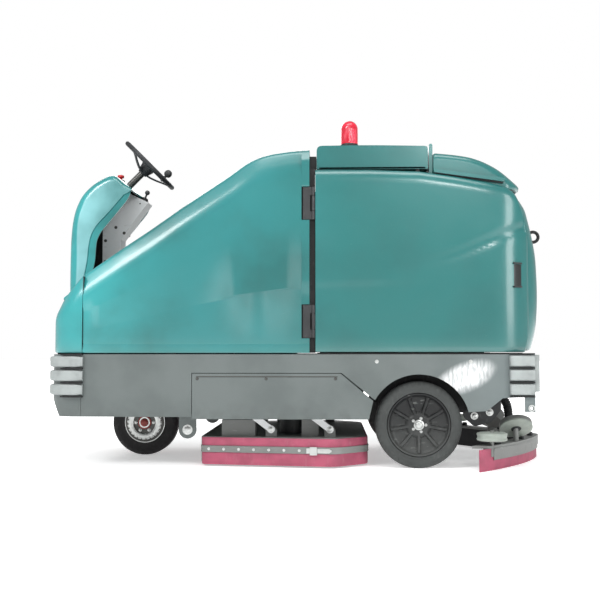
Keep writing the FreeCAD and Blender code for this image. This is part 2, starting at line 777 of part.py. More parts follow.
def steering_wheel():
    """The dished wheel: rim, three spokes and hub, tilted towards the seat."""
    rim = doc.addObject("Part::Torus", "Rim")
    bind(rim, Radius1=s.steer_r, Radius2=s.rim_tube)
    hub = turned([(0, -62), (24, -62), (34, -34), (40, -12), (0, -6)])
    pieces = [rim, hub]
    for index in range(3):
        spoke = pad("XZ", [(26, -60), (26, -42), (s.steer_r - 10, -2), (s.steer_r - 4, -10)], (-12, 12))
        boss = box((s.steer_r - 72, s.steer_r - 52), (-10, 10), (-30, -14))
        turn = Rotation(Vector(0, 0, 1), index * 120)
        pieces.append(put(fuse(spoke, boss) if index == 0 else spoke, (0, 0, 0), turn))
    whole = fuse(*pieces)
    tilt = Rotation(Vector(0, 1, 0), s.steer_tilt.value)
    return node("steering_wheel", put(whole, (s.steer_x, 0, s.steer_z), tilt))


def spinner_knob():
    """The ball that the operator turns the wheel with, standing on the rim."""
    reach = s.steer_r - 62
    stem = rod("z", (reach, 0), 6, (-14, 32))
    ball = doc.addObject("Part::Sphere", "Ball")
    bind(ball, Radius=21)
    put(ball, (reach, 0, 38))
    tilt = Rotation(Vector(0, 1, 0), s.steer_tilt.value)
    return node("spinner_knob", put(fuse(stem, ball), (s.steer_x, 0, s.steer_z), tilt))


def steering_shaft():
    """The upper shaft from the wheel's hub down to the universal joint."""
    reach = (s.steer_z - s.joint_z) * math.sqrt(2)
    upper = rod("z", (0, 0), 18, (-190, -62))
    lower = rod("z", (0, 0), s.shaft_r, (-reach + 14, -180))
    yoke = rod("z", (0, 0), 20, (-reach + 14, -reach + 44))
    tilt = Rotation(Vector(0, 1, 0), s.steer_tilt.value)
    return node("steering_shaft",
                put(fuse(upper, lower, yoke), (s.steer_x, 0, s.steer_z), tilt))


def lower_shaft():
    """The upright shaft that carries the small sprocket through the floor plate."""
    at = (s.column_shaft_x, 0)
    shaft = rod("z", at, s.shaft_r, (s.chain_z - 4, s.joint_z - 22))
    sprocket = rod("z", at, s.sprocket_small, (s.chain_z - 2, s.chain_z + s.chain_high + 2))
    yoke = rod("z", at, 20, (s.joint_z - 50, s.joint_z - 22))
    return node("lower_shaft", fuse(shaft, sprocket, yoke))


def chain_loop(grow):
    """The area inside a chain that runs round both sprockets."""
    small = s.sprocket_small + grow
    big = s.sprocket_big + grow
    span = s.drive_x - s.column_shaft_x
    lean = (big - small) / span
    rise = root(1 - lean * lean)
    z = (s.chain_z, s.chain_z + s.chain_high)
    corners = []
    for x, radius, side in ((s.column_shaft_x, small, -1), (s.drive_x, big, -1),
                            (s.drive_x, big, 1), (s.column_shaft_x, small, 1)):
        corners.append((x - lean * radius, rise * radius * side))
    return fuse(rod("z", (s.column_shaft_x, 0), small, z), rod("z", (s.drive_x, 0), big, z),
                pad("XY", corners, z))


def steering_chain():
    """The closed chain between the two steering sprockets."""
    return node("steering_chain",
                cut(chain_loop(s.chain_gap + s.chain_thick), chain_loop(s.chain_gap)))


def front_fork():
    """The one-armed fork under its sprocket and kingpin."""
    at = (s.drive_x, 0)
    top = s.fork_top + s.fork_plate
    plate = rod("z", at, s.turntable_r, (s.fork_top, top))
    neck = rod("z", at, s.kingpin_r + 20, (top - 1, s.chain_z))
    sprocket = rod("z", at, s.sprocket_big, (s.chain_z - 0.5, s.chain_z + s.chain_high + 0.5))
    kingpin = rod("z", at, s.kingpin_r, (top, s.floor_top - 3))
    arm = box((s.drive_x - 45, s.drive_x + 45), (60, 80), (120, s.fork_top + 2))
    bore = rod("y", (s.drive_x, s.drive_r), s.axle_r + s.running, (55, 81))
    return node("front_fork", cut(fuse(plate, neck, sprocket, kingpin, arm), bore))


def drive_motor():
    """The traction motor on the fork's arm."""
    can = rod("y", (s.drive_x, s.drive_r), 68, (95, 200))
    flange = rod("y", (s.drive_x, s.drive_r), 78, (80.2, 96))
    return node("drive_motor", fuse(can, flange))


def front_wheel():
    """The driven wheel's steel hub with its toothed brake ring and axle."""
    at = (s.drive_x, s.drive_r)
    half = s.drive_half
    pieces = [rod("y", at, s.drive_rim - 0.05, (-half + 4, half - 4)),
              rod("y", at, s.axle_r, (half - 5, 79)),
              rod("y", at, 28, (-half - 8, -half + 5))]
    teeth = 24
    for index in range(teeth):
        tooth = box((78, 88), (-half - 3, -half + 5), (-5, 5))
        holder = fuse(tooth, box((76, 80), (-half - 3, -half + 5), (-4, 4)))
        turn = Rotation(Vector(0, 1, 0), index * 360 / teeth)
        pieces.append(put(holder, (s.drive_x, 0, s.drive_r), turn))
    ring = cut(rod("y", at, 80, (-half - 3, -half + 5)), rod("y", at, 60, (-half - 4, -half + 4)))
    return node("front_wheel", fuse(ring, *pieces))


def ring_tyre(at, outer, inner, span):
    """A solid tyre round a wheel."""
    low, high = size(span[0]), size(span[1])
    return cut(rod("y", at, outer, (low, high)), rod("y", at, inner, (low - 1, high + 1)))


def front_tyre():
    """The front wheel's black tyre."""
    return node("front_tyre", ring_tyre((s.drive_x, s.drive_r), s.drive_r, s.drive_rim,
                                        (-s.drive_half, s.drive_half)))


def rear_wheel():
    """A rear wheel disc with hub boss and nine ribs."""
    at = (s.wheel_x, s.wheel_r)
    disc = rod("y", at, s.rim_r - 0.05, (s.tyre_in + 15, s.tyre_out - 15))
    boss = rod("y", at, s.hub_r, (s.tyre_in, s.tyre_out + 12))
    pieces = [disc, boss]
    ribs = 9
    for index in range(ribs):
        bar = box((40, s.rim_r - 6), (s.tyre_out - 16, s.tyre_out - 8), (-6, 6))
        holder = fuse(bar, box((42, 60), (s.tyre_out - 16, s.tyre_out - 8), (-8, 8)))
        turn = Rotation(Vector(0, 1, 0), index * 360 / ribs)
        pieces.append(put(holder, (s.wheel_x, 0, s.wheel_r), turn))
    bore = rod("y", at, s.stub_r + s.running, (s.tyre_in - 5, s.tyre_out + 4))
    return cut(fuse(*pieces), bore)


def rear_tyre():
    """A rear wheel's solid tyre."""
    return ring_tyre((s.wheel_x, s.wheel_r), s.wheel_r, s.rim_r, (s.tyre_in, s.tyre_out))


# ---------------------------------------------------------------- operator's controls and seat

def pedal(name, y, width):
    """A pedal plate that leans forward from its cross pin."""
    base = s.floor_top + s.mat + 16
    plate = pad("XZ", [(-1097, base - 6), (-1086, base + 6), (-1158, base + 92),
                       (-1168, base + 84)], (y - width, y + width))
    pin = rod("y", (-1090, base), s.pedal_pin, (y - s.pedal_half - 9, y + s.pedal_half + 9))
    eye = rod("y", (-1090, base), s.pedal_pin + 6, (y - width, y + width))
    return node(name, fuse(plate, pin, eye))


def seat_pan():
    """The seat's pressed pan and back shell on its slides."""
    top = s.seat_top + 5.5
    pan = box((-680, -285), (-s.seat_half, s.seat_half), (top, top + 18))
    back = pad("XZ", [(-303, top), (-279, top), (-222, 1440), (-238, 1440)],
               (-s.seat_half, s.seat_half))
    return node("seat_pan", fuse(pan, back))


def seat_cushions():
    """The seat and back cushions as plain blocks."""
    low = s.seat_top + 24
    half = s.seat_half - 12
    seat = box((-676, -310), (-half, half), (low, low + s.cushion))
    back = pad("XZ", [(-385, low + 90), (-294, low + 90), (-246, 1432), (-326, 1432)],
               (-half, half))
    return node("seat_cushions", group(seat, back))


# ---------------------------------------------------------------- service panels

def service_panel():
    """The panel over the brush deck, turning up about its hinge barrel."""
    outline = [
        (s.panel_front, s.panel_bottom), (s.panel_rear, s.panel_bottom),
        (s.panel_slope_end - 3, s.panel_slope_z), (s.panel_slope_x, s.panel_top),
        (s.panel_front, s.panel_top),
    ]
    return pad("XZ", outline, (s.frame_half - s.plate, s.frame_half))


# ---------------------------------------------------------------- brush deck

def skirt_line(offset):
    """Three corners of the skirt in plan, drawn in by an offset."""
    return [
        (s.skirt_front_x, s.skirt_front_y - offset),
        (s.skirt_mid_x - offset * 0.25, s.skirt_mid_y - offset * 1.03),
        (s.skirt_rear_x - offset * 0.75, s.skirt_rear_y - offset * 0.85),
    ]


def band(outer, inner, span):
    """A strip between two lines of the skirt."""
    return pad("XY", skirt_line(outer) + skirt_line(inner)[::-1], span)


def deck_apron(block):
    """The deck's apron as six straight walls, split at the corners of its plan."""
    top = s.deck_plate_z - s.deck_top
    ring = cut(block(size(0), s.apron_low, top), block(s.deck_wall, s.apron_low - 1, top + 1))
    z = (s.apron_low - 1, top + 1)
    inner = s.deck_wall + s.skirt_thick + 6
    front = s.skirt_front_x + inner
    rear = s.skirt_rear_x - inner
    pieces = [
        common(ring, box((s.skirt_front_x, front), (-s.half_length, s.half_length), z)),
        common(ring, box((rear, s.skirt_rear_x), (-s.half_length, s.half_length), z)),
    ]
    for x in ((front, s.skirt_mid_x), (s.skirt_mid_x, rear)):
        pieces += both(common(ring, box(x, (0, s.half_length), z)))
    return pieces


def deck_housing():
    """The brush deck's plate and apron, link ears and stiffening blocks."""
    def block(inset, low, high):
        line = skirt_line(s.skirt_thick + 0.6 + inset)
        line[0] = (line[0][0] + inset + 2, line[0][1])
        line[2] = (line[2][0] - inset, line[2][1])
        other = [(x, -y) for x, y in line[::-1]]
        return pad("XY", line + other, (low, high))
    top = s.deck_plate_z
    holes = []
    for side in (-1, 1):
        holes.append(rod("z", (s.brush_x, s.brush_y * side), 17, (top - 20, top + 5)))
    pieces = [cut(block(size(0), top - s.deck_top, top), *holes)] + deck_apron(block)
    pin_z = s.link_top_z - s.link_drop
    for x in (s.link_front + s.link_run, s.link_rear + s.link_run):
        y = (s.link_in - 16, s.link_in - 4)
        ear = fuse(box((x - 26, x + 26), y, (top, pin_z)), rod("y", (x, pin_z), 20, y))
        bore = rod("y", (x, pin_z), s.link_pin + s.running, (s.link_in - 18, s.link_in))
        pieces += both(cut(ear, bore))
    pieces += both(box((-399, -240), (360, 440), (top, 214)))
    pieces += both(box((-20, 60), (360, 430), (top, 214)))
    return node("deck_housing", group(*pieces))


def brush_motors():
    """The two brush motors on the deck."""
    motors = []
    for side in (-1, 1):
        at = (s.brush_x, s.brush_y * side)
        can = rod("z", at, s.motor_r, (s.deck_plate_z + 0.2, 300))
        cap = rod("z", at, s.motor_r - 20, (299, 330))
        motors.append(fuse(can, cap))
    return node("brush_motors", group(*motors))


def brush(name, side):
    """A disc brush: bristle ring, block and driven hub."""
    at = (s.brush_x, s.brush_y * side)
    bristles = cut(rod("z", at, s.brush_r, (1, 71)), rod("z", at, 120, (0, 69)))
    block = rod("z", at, s.brush_r - 10, (70, 98))
    hub = rod("z", at, 40, (97, 122))
    shaft = rod("z", at, 12, (120, s.deck_plate_z - 0.5))
    return node(name, fuse(bristles, block, hub, shaft))


def deck_skirts():
    """The red rubber side skirts."""
    skirt = band(size(0), s.skirt_thick, (s.skirt_low, s.skirt_top))
    return node("deck_skirts", group(*both(skirt)))


def skirt_straps():
    """The steel straps that clamp the skirts."""
    strap = band(-s.strap_thick - 0.3, size(-0.3), (s.strap_low, s.strap_high))
    return node("skirt_straps", group(*both(strap)))


def lift_links(name, x, play):
    """A pair of deck links with their pins; play thins the lower pins."""
    end_x = x + s.link_run
    end_z = s.link_top_z - s.link_drop
    reach = root(s.link_run * s.link_run + s.link_drop * s.link_drop)
    across = 15 * s.link_drop / reach
    along = 15 * s.link_run / reach
    y = (s.link_in, s.link_in + s.link_thick)
    bar = pad("XZ", [
        (x - across, s.link_top_z - along), (end_x - across, end_z - along),
        (end_x + across, end_z + along), (x + across, s.link_top_z + along),
    ], y)
    link = fuse(
        bar,
        rod("y", (x, s.link_top_z), 18, y),
        rod("y", (end_x, end_z), 18, y),
        rod("y", (x, s.link_top_z), s.link_pin, (s.link_in + 2, s.link_in + 26)),
        rod("y", (end_x, end_z), s.link_pin - play, (s.link_in - 16, s.link_in + 2)),
    )
    return node(name, group(*both(link)))


# ---------------------------------------------------------------- squeegee

def swept(y):
    """Where the squeegee's working line lies behind a point y from the middle."""
    y = size(y)
    return s.squeegee_nose - s.lean * y - s.bow * y * y


def sweep_band(half, front, rear, span):
    """A strip that follows the squeegee's line, built from both halves."""
    steps = 6
    near = [half * index / steps for index in range(steps + 1)]
    line = [(swept(y) + rear, y) for y in near[::-1]]
    line += [(swept(y) + rear, -y) for y in near[1:]]
    line += [(swept(y) + front, -y) for y in near[::-1]]
    line += [(swept(y) + front, y) for y in near[1:]]
    return pad("XY", line, span)


def squeegee_frame():
    """The retainer with its yaw boss, hose spout, roller pins and levelling discs."""
    top = s.blade_top + 1
    z = (top, top + s.retainer)
    plate = sweep_band(s.retainer_half, -70, s.blade + 7, z)
    lip = sweep_band(s.retainer_half - 10, s.blade + 2.6, s.blade + 6.6, (62, top + 1))
    bridge = box((s.yaw_x - 35, swept(0) - 60), (-60, 60), z)
    boss = rod("z", (s.yaw_x, 0), s.yaw_r + 14, (top, s.spout_top - 2))
    spout = rod("z", (s.hose_x, 0), s.hose_r + 2, (top, s.spout_top))
    pin = rod("z", (s.roller_x, s.roller_y), 8, (top, s.roller_low + s.roller_tall + 8))
    post = rod("z", (1005, 350), 12, (top, 176))
    disc = put(rod("z", (0, 0), 78, (-10, 10)), (1005, 350, 176), Rotation(Vector(1, 0, 0), 38))
    pieces = [plate, lip, bridge, boss, spout]
    for piece in (pin, post, disc):
        pieces += both(piece)
    holes = [
        rod("z", (s.yaw_x, 0), s.yaw_r + s.running, (top - 10, s.spout_top + 5)),
        rod("z", (s.hose_x, 0), s.hose_r - 4, (top - 10, s.spout_top + 5)),
    ]
    return node("squeegee_frame", cut(fuse(*pieces), *holes))


def squeegee_blades():
    """The rear and front rubber blades."""
    z = (s.blade_low, s.blade_top)
    rear = sweep_band(s.squeegee_half, 0, s.blade, z)
    back = s.front_blade_back
    front = sweep_band(s.squeegee_half - 40, -back, -back + s.blade, z)
    return node("squeegee_blades", group(rear, front))


def guide_roller():
    """A guide roller that keeps the squeegee off walls."""
    at = (s.roller_x, s.roller_y)
    z = (s.roller_low, s.roller_low + s.roller_tall)
    return cut(rod("z", at, s.roller_r, z), rod("z", at, 8 + s.running, (0, 300)))


def squeegee_arm():
    """The lifting arm with its cross pin and upright yaw pin."""
    bar = pad("XZ", [
        (s.arm_pivot_x - 20, s.arm_pivot_z - 4), (s.arm_pivot_x + 4, s.arm_pivot_z + 20),
        (s.yaw_x + 30, s.spout_top + 40), (s.yaw_x + 30, s.spout_top),
        (s.yaw_x - 25, s.spout_top),
    ], (56, 70))
    pin = rod("y", (s.arm_pivot_x, s.arm_pivot_z), s.link_pin, (60, 84))
    deck = box((s.yaw_x - 30, s.yaw_x + 30), (-70, 70), (s.spout_top, s.spout_top + 14))
    yaw_pin = rod("z", (s.yaw_x, 0), s.yaw_r, (s.blade_top + 3, s.spout_top + 2))
    return node("squeegee_arm", fuse(deck, yaw_pin, *both(bar), *both(pin)))


def suction_hose():
    """The hose from the spout up to the tank's stub, in straight runs and tangent arcs."""
    bend = 85
    level = 318
    low = s.spout_top.value + 1.5
    far = s.hose_x.value
    near = s.hose_entry_x.value
    corner = bend * (1 - math.sqrt(0.5))
    runs = [
        Part.LineSegment(Vector(far, 0, low), Vector(far, 0, level - bend)),
        Part.Arc(Vector(far, 0, level - bend), Vector(far - corner, 0, level - corner),
                 Vector(far - bend, 0, level)),
        Part.LineSegment(Vector(far - bend, 0, level), Vector(near + 60, 0, level)),
        Part.Arc(Vector(near + 60, 0, level),
                 Vector(near + 60 * math.sqrt(0.5) - 42.43 + 17.57, 0, level + 17.57),
                 Vector(near, 0, level + 60)),
    ]
    path = Part.Wire([run.toShape() for run in runs])
    ring = Part.Wire(Part.makeCircle(s.hose_r.value, Vector(far, 0, low), Vector(0, 0, 1)))
    hose = doc.addObject("Part::Feature", "Hose")
    hose.Shape = path.makePipeShell([ring], True, True)
    return node("suction_hose", hose)


def build():
    """Make every sub-part."""
    chassis()
    nose_plate()
    corner_pads()
    rear_bumper()
    nose_fairing()
    body_sides()
    front_shroud()
    seat_box()
    operator_floor()
    recovery_tank()
    solution_tank()
    battery_pack()
    vacuum_motor()
    tail_handle()
    left_right("side_door", lambda: mirrored(side_door()))
    left_right("door_handle", lambda: mirrored(door_handle()))
    door_hinges()
    hood()
    beacon()
    rear_lid()
    steering_column()
    direction_lever()
    emergency_stop()
    steering_wheel()
    spinner_knob()
    steering_shaft()
    lower_shaft()
    steering_chain()
    front_fork()
    drive_motor()
    front_wheel()
    front_tyre()
    left_right("rear_wheel", lambda: mirrored(rear_wheel()))
    left_right("rear_tyre", lambda: mirrored(rear_tyre()))
    pedal("drive_pedal", s.drive_pedal_y, 34)
    pedal("brake_pedal", s.brake_pedal_y, 34)
    seat_pan()
    seat_cushions()
    left_right("service_panel", lambda: mirrored(service_panel()))
    deck_housing()
    brush_motors()
    brush("brush_left", -1)
    brush("brush_right", 1)
    deck_skirts()
    skirt_straps()
    lift_links("lift_links_front", s.link_front, 0)
    lift_links("lift_links_rear", s.link_rear, 1)
    squeegee_frame()
    squeegee_blades()
    left_right("guide_roller", lambda: mirrored(guide_roller()))
    squeegee_arm()
    suction_hose()


def check():
    """Stop if any object failed or any sub-part is empty or broken."""
    for thing in doc.Objects:
        if "Invalid" in thing.State or "Error" in thing.State:
            raise RuntimeError(f"{thing.Name} failed: {thing.State}")
    for piece in nodes:
        if piece.Shape.isNull() or not piece.Shape.isValid() or not piece.Shape.Solids:
            raise RuntimeError(f"{piece.Label} has no valid shape")


def export():
    """Write one STEP file for each sub-part."""
    os.makedirs("parts", exist_ok=True)
    for piece in nodes:
        piece.Shape.exportStep(os.path.join("parts", f"{piece.Label}.step"))
        print(f"{piece.Label}: {len(piece.Shape.Solids)} solid(s), "
              f"{piece.Shape.Volume / 1e6:.2f} litres")


build()
doc.recompute()
check()
export()
print(f"{len(nodes)} sub-parts")
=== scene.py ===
"""A ride-on floor scrubber: surfaces, finishes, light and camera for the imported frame.

Lengths in the shape code are millimetres, and mesh_piece turns them into metres.
"""
import json
import math

import bpy
import numpy as np
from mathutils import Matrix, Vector


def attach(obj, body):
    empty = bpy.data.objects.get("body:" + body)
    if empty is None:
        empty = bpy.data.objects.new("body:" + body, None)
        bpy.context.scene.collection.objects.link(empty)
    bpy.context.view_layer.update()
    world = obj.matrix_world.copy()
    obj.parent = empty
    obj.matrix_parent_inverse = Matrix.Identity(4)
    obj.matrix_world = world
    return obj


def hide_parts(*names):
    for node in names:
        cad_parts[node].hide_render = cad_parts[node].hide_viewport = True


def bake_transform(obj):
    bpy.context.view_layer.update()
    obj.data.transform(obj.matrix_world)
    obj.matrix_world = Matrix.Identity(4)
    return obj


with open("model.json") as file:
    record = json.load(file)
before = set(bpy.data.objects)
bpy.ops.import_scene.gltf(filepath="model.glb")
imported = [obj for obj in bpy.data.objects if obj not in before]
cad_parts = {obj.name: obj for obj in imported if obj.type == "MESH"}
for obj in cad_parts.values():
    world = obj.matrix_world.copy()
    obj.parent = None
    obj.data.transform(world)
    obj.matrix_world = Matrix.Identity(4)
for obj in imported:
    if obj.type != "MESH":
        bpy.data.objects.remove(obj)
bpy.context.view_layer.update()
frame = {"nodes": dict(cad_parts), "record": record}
TAU = 2 * math.pi


# ---------------------------------------------------------------- finishes

def ink(red, green, blue):
    """A colour given in everyday 0-255 numbers, as linear light."""
    def linear(value):
        """One channel as linear light."""
        value /= 255
        return value / 12.92 if value < 0.04045 else ((value + 0.055) / 1.055) ** 2.4
    return (linear(red), linear(green), linear(blue), 1.0)


class Shade:
    """A number that varies over a surface. Arithmetic on it adds maths nodes."""

    def __init__(self, paint, socket):
        self.paint = paint
        self.socket = socket

    def sum(self, operation, *others):
        """A maths node that works on this shade and any others."""
        values = dict(enumerate((self,) + others))
        return Shade(self.paint, self.paint.node("ShaderNodeMath", values, operation=operation).outputs[0])

    def __add__(self, other):
        return self.sum("ADD", other)

    __radd__ = __add__

    def __sub__(self, other):
        return self.sum("SUBTRACT", other)

    def __rsub__(self, other):
        return self * -1 + other

    def __mul__(self, other):
        return self.sum("MULTIPLY", other)

    __rmul__ = __mul__

    def __truediv__(self, other):
        return self.sum("DIVIDE", other)

    def step(self, low, high):
        """0 below low, 1 above high, with a soft change between."""
        values = {0: self, 1: low, 2: high, 3: 0.0, 4: 1.0}
        made = self.paint.node("ShaderNodeMapRange", values, interpolation_type="SMOOTHSTEP")
        return Shade(self.paint, made.outputs[0])


class Paint:
    """A procedural finish on the standard surface shader."""

    def __init__(self, name):
        self.material = bpy.data.materials.new(name)
        self.material.use_nodes = True
        self.tree = self.material.node_tree
        self.face = self.tree.nodes["Principled BSDF"]
        self.place = self.node("ShaderNodeTexCoord").outputs["Object"]
        parts = self.node("ShaderNodeSeparateXYZ", {0: self.place}).outputs
        self.x, self.y, self.z = (Shade(self, part) for part in parts)

    def node(self, kind, values=(), **settings):
        """Adds a node, with its settings and its inputs."""
        made = self.tree.nodes.new(kind)
        for key, value in settings.items():
            setattr(made, key, value)
        for key, value in dict(values).items():
            self.feed(made.inputs[key], value)
        return made

    def feed(self, spot, value):
        """Wires a shade or a socket into an input, or sets a plain value there."""
        value = getattr(value, "socket", value)
        if isinstance(value, bpy.types.NodeSocket):
            self.tree.links.new(value, spot)
        else:
            spot.default_value = value

    def noise(self, scale, detail=3.0, stretch=(1, 1, 1)):
        """Cloudy variation from 0 to 1, with scale patches to the metre."""
        spread = self.node("ShaderNodeMapping", {0: self.place, 3: stretch})
        values = {"Vector": spread.outputs[0], "Scale": scale, "Detail": detail}
        return Shade(self, self.node("ShaderNodeTexNoise", values).outputs["Fac"])

    def cells(self, scale):
        """Distance to the nearest of scattered points, with scale points to the metre."""
        made = self.node("ShaderNodeTexVoronoi", {"Vector": self.place, "Scale": scale})
        return Shade(self, made.outputs["Distance"])

    def waves(self, scale, direction="X"):
        """Parallel ridges along one axis."""
        values = {"Vector": self.place, "Scale": scale}
        made = self.node("ShaderNodeTexWave", values, bands_direction=direction)
        return Shade(self, made.outputs["Fac"])

    def mix(self, one, other, amount):
        """One colour where amount is 0, the other where it is 1."""
        made = self.node("ShaderNodeMix", {0: amount, 6: one, 7: other}, data_type="RGBA")
        return made.outputs[2]

    def finish(self, colour, rough, height=None, depth=0.0002, **plain):
        """Connects the colour, the roughness, a bump and any plain settings."""
        self.feed(self.face.inputs["Base Color"], colour)
        self.feed(self.face.inputs["Roughness"], rough)
        if height is not None:
            values = {"Height": height, "Distance": depth, "Strength": 0.6}
            self.feed(self.face.inputs["Normal"], self.node("ShaderNodeBump", values).outputs[0])
        for key, value in plain.items():
            self.feed(self.face.inputs[key.replace("_", " ")], value)
        return self.material


# painted light: teal tones falling from a lit front through the middle to a shaded rear
TEAL_LIT_FRONT, TEAL_MIDDLE, TEAL_SHADED_REAR = ink(48, 150, 152), ink(36, 117, 118), ink(28, 101, 99)


def painted(name, gloss=0.3, painted_lit_sides=False, painted_slot_shade=False):
    """Glossy moulded shell with faint clouding and orange peel, painted lighter to the front as a falloff
    from a lit front to a shaded rear.

    The shroud's flat sides carry a pale painted highlight, and the doors carry a painted dark patch for the
    shade inside the pull's slot.
    """
    p = Paint(name)
    cloud = p.noise(2.2, 4) * 0.5
    front, rear = TEAL_LIT_FRONT, TEAL_SHADED_REAR
    # painted light: the colour runs from the lit front tone to the shaded rear tone along x
    base = p.mix(p.mix(front, TEAL_MIDDLE, p.x.step(-1.15, -0.55)), rear, p.x.step(-0.35, 0.3))
    wide = p.y.sum("ABSOLUTE")
    # painted highlight: the shroud's flat sides are made paler, as if lit
    if painted_lit_sides:
        base = p.mix(base, ink(158, 205, 210), wide.step(0.2462, 0.2485) * 0.6)
    # painted shade: a near-black patch where the pull's recess would lie in shade; the skin has no hole there
    if painted_slot_shade:
        along = p.x.step(0.966, 0.968) * (1.006 - p.x).step(0.0, 0.002)
        tall = p.z.step(0.84, 0.842) * (0.943 - p.z).step(0.0, 0.002)
        base = p.mix(base, ink(18, 20, 21), along * tall)
    soft = p.mix(base, tuple(c * 0.8 for c in rear[:3]) + (1,), cloud.step(0.2, 0.4))
    specks = p.noise(260, 2).step(0.66, 0.8) * 0.18
    dusty = p.mix(soft, ink(176, 205, 200), specks * 0.5 + (0.62 - p.z).step(0.0, 0.14) * 0.12)
    rough = p.noise(9, 5) * 0.16 + gloss - 0.06
    peel = p.noise(420, 2) + p.noise(34, 3) * 0.7
    return p.finish(dusty, rough, peel, 0.00035, Coat_Weight=0.55, Coat_Roughness=0.16)


def coated(name, colour, rough=0.42, metal=0.25, scale=1.0):
    """Powder-coated steel with fine grit, scuffs and dust low down."""
    p = Paint(name)
    cloud = p.noise(5 * scale, 5)
    grit = p.noise(700, 2)
    scuff = p.noise(24 * scale, 6, (1, 1, 3)).step(0.62, 0.75)
    shade = p.mix(tuple(c * 0.78 for c in colour[:3]) + (1,), colour, cloud.step(0.3, 0.7))
    worn = p.mix(shade, ink(168, 172, 168), scuff * 0.3 + (0.3 - p.z).step(0, 0.25) * 0.12)
    return p.finish(worn, cloud * 0.2 + scuff * 0.12 + rough - 0.1, grit, 0.00025, Metallic=metal)


def rubbery(name, colour, rough=0.7, streak=0.25, grain=500):
    """Rubber or moulded plastic with a fine grain, dull streaks and dust."""
    p = Paint(name)
    cloud = p.noise(14, 5)
    dust = p.noise(60, 6, (1, 1, 0.4)).step(0.55, 0.75)
    pale = tuple(c * 0.6 + 0.16 for c in colour[:3]) + (1,)
    tone = p.mix(tuple(c * 0.75 for c in colour[:3]) + (1,), colour, cloud.step(0.3, 0.65))
    shade = p.mix(tone, pale, dust * streak)
    return p.finish(shade, cloud * 0.2 + rough - 0.1, p.noise(grain, 2) + p.cells(grain * 0.6), 0.0003)


def steel(name, colour, rough=0.3, stretch=(40, 40, 1)):
    """Brushed bare metal with drawn streaks and faint stains."""
    p = Paint(name)
    streaks = p.noise(30, 4, stretch)
    stain = p.noise(20, 5).step(0.55, 0.8)
    shade = p.mix(colour, tuple(c * 0.55 for c in colour[:3]) + (1,), streaks * 0.35 + stain * 0.3)
    return p.finish(shade, streaks * 0.18 + stain * 0.2 + rough - 0.05, streaks, 0.0001, Metallic=0.95)


def skin_of_seat():
    """Black vinyl with a leather grain, and random paler patches as a slight painted sheen."""
    p = Paint("seat_vinyl")
    grain = p.cells(320) + p.noise(900, 2) * 0.4
    worn = p.noise(9, 4)
    # painted sheen: random paler patches on the black vinyl
    shade = p.mix(ink(26, 27, 28), ink(48, 49, 50), worn.step(0.35, 0.7))
    return p.finish(shade, worn * 0.2 + 0.38, grain, 0.0006)


def tank_skin():
    """Rotomoulded white plastic, faintly milky, with a pebbled surface."""
    p = Paint("tank_white")
    cloud = p.noise(7, 4)
    shade = p.mix(ink(205, 208, 200), ink(226, 228, 222), cloud.step(0.35, 0.65))
    return p.finish(shade, cloud * 0.1 + 0.5, p.noise(240, 3), 0.0005, Subsurface_Weight=0.05)


def lens_skin():
    """Clear red moulded plastic, with paler vertical streaks as painted highlights and a faint painted glow
    for light caught inside.
    """
    p = Paint("red_lens")
    ribs = p.noise(40, 3, (1, 1, 0.3))
    # painted highlights: stretched vertical streaks mix in a paler pink
    shade = p.mix(ink(214, 46, 68), ink(232, 110, 124), ribs.step(0.45, 0.7))
    # painted glow: a faint red emission stands in for light caught inside the lens; no lamp is in it
    return p.finish(shade, ribs * 0.1 + 0.06, p.noise(90, 2), 0.0002, Transmission_Weight=0.45,
                    IOR=1.45, Emission_Color=ink(240, 30, 60), Emission_Strength=0.12)


def bristle_skin():
    """Nylon bristles with lighter tips."""
    p = Paint("brush_fibre")
    tips = (0.03 - p.z).step(0.0, 0.03)
    strands = p.noise(900, 2, (1, 1, 0.02))
    shade = p.mix(ink(58, 64, 70), ink(110, 118, 122), tips * 0.6 + strands * 0.3)
    return p.finish(shade, strands * 0.2 + 0.5, strands, 0.0004)


def fender_skin():
    """The grey frame: satin paint with long brushed streaks, painted lighter towards the rear, with a painted
    reflection patch on the rear side plate.
    """
    p = Paint("grey_paint")
    streaks = p.noise(12, 5, (1, 1, 26))
    cloud = p.noise(3.5, 4)
    # painted light: a lighter, bluer grey towards the rear
    rear = p.x.step(0.4, 1.1)
    base = p.mix(ink(96, 103, 102), ink(106, 113, 112), cloud.step(0.35, 0.65))
    shade = p.mix(base, ink(128, 140, 142), rear * 0.4 + streaks.step(0.6, 0.8) * 0.12)
    # painted reflection: a bright, streaked near-white patch on the rear side plate
    across, above = (p.x - 0.735) / 0.12, (p.z - 0.42 + (p.x - 0.735) * -0.3) / 0.062
    reflection_streaks = p.noise(90, 4, (1, 1, 0.25)).step(0.35, 0.6)
    painted_reflection = (1 - (across * across + above * above) * 0.6).step(0.0, 1.0) * (0.45 + reflection_streaks * 0.5)
    with_painted_reflection = p.mix(shade, ink(250, 251, 252), painted_reflection)
    dirty = p.mix(with_painted_reflection, ink(84, 88, 86), (0.33 - p.z).step(0, 0.14) * p.noise(22, 5).step(0.4, 0.7) * 0.5)
    return p.finish(dirty, streaks * 0.16 + 0.36, p.noise(500, 2) + streaks, 0.0002, Metallic=0.35)


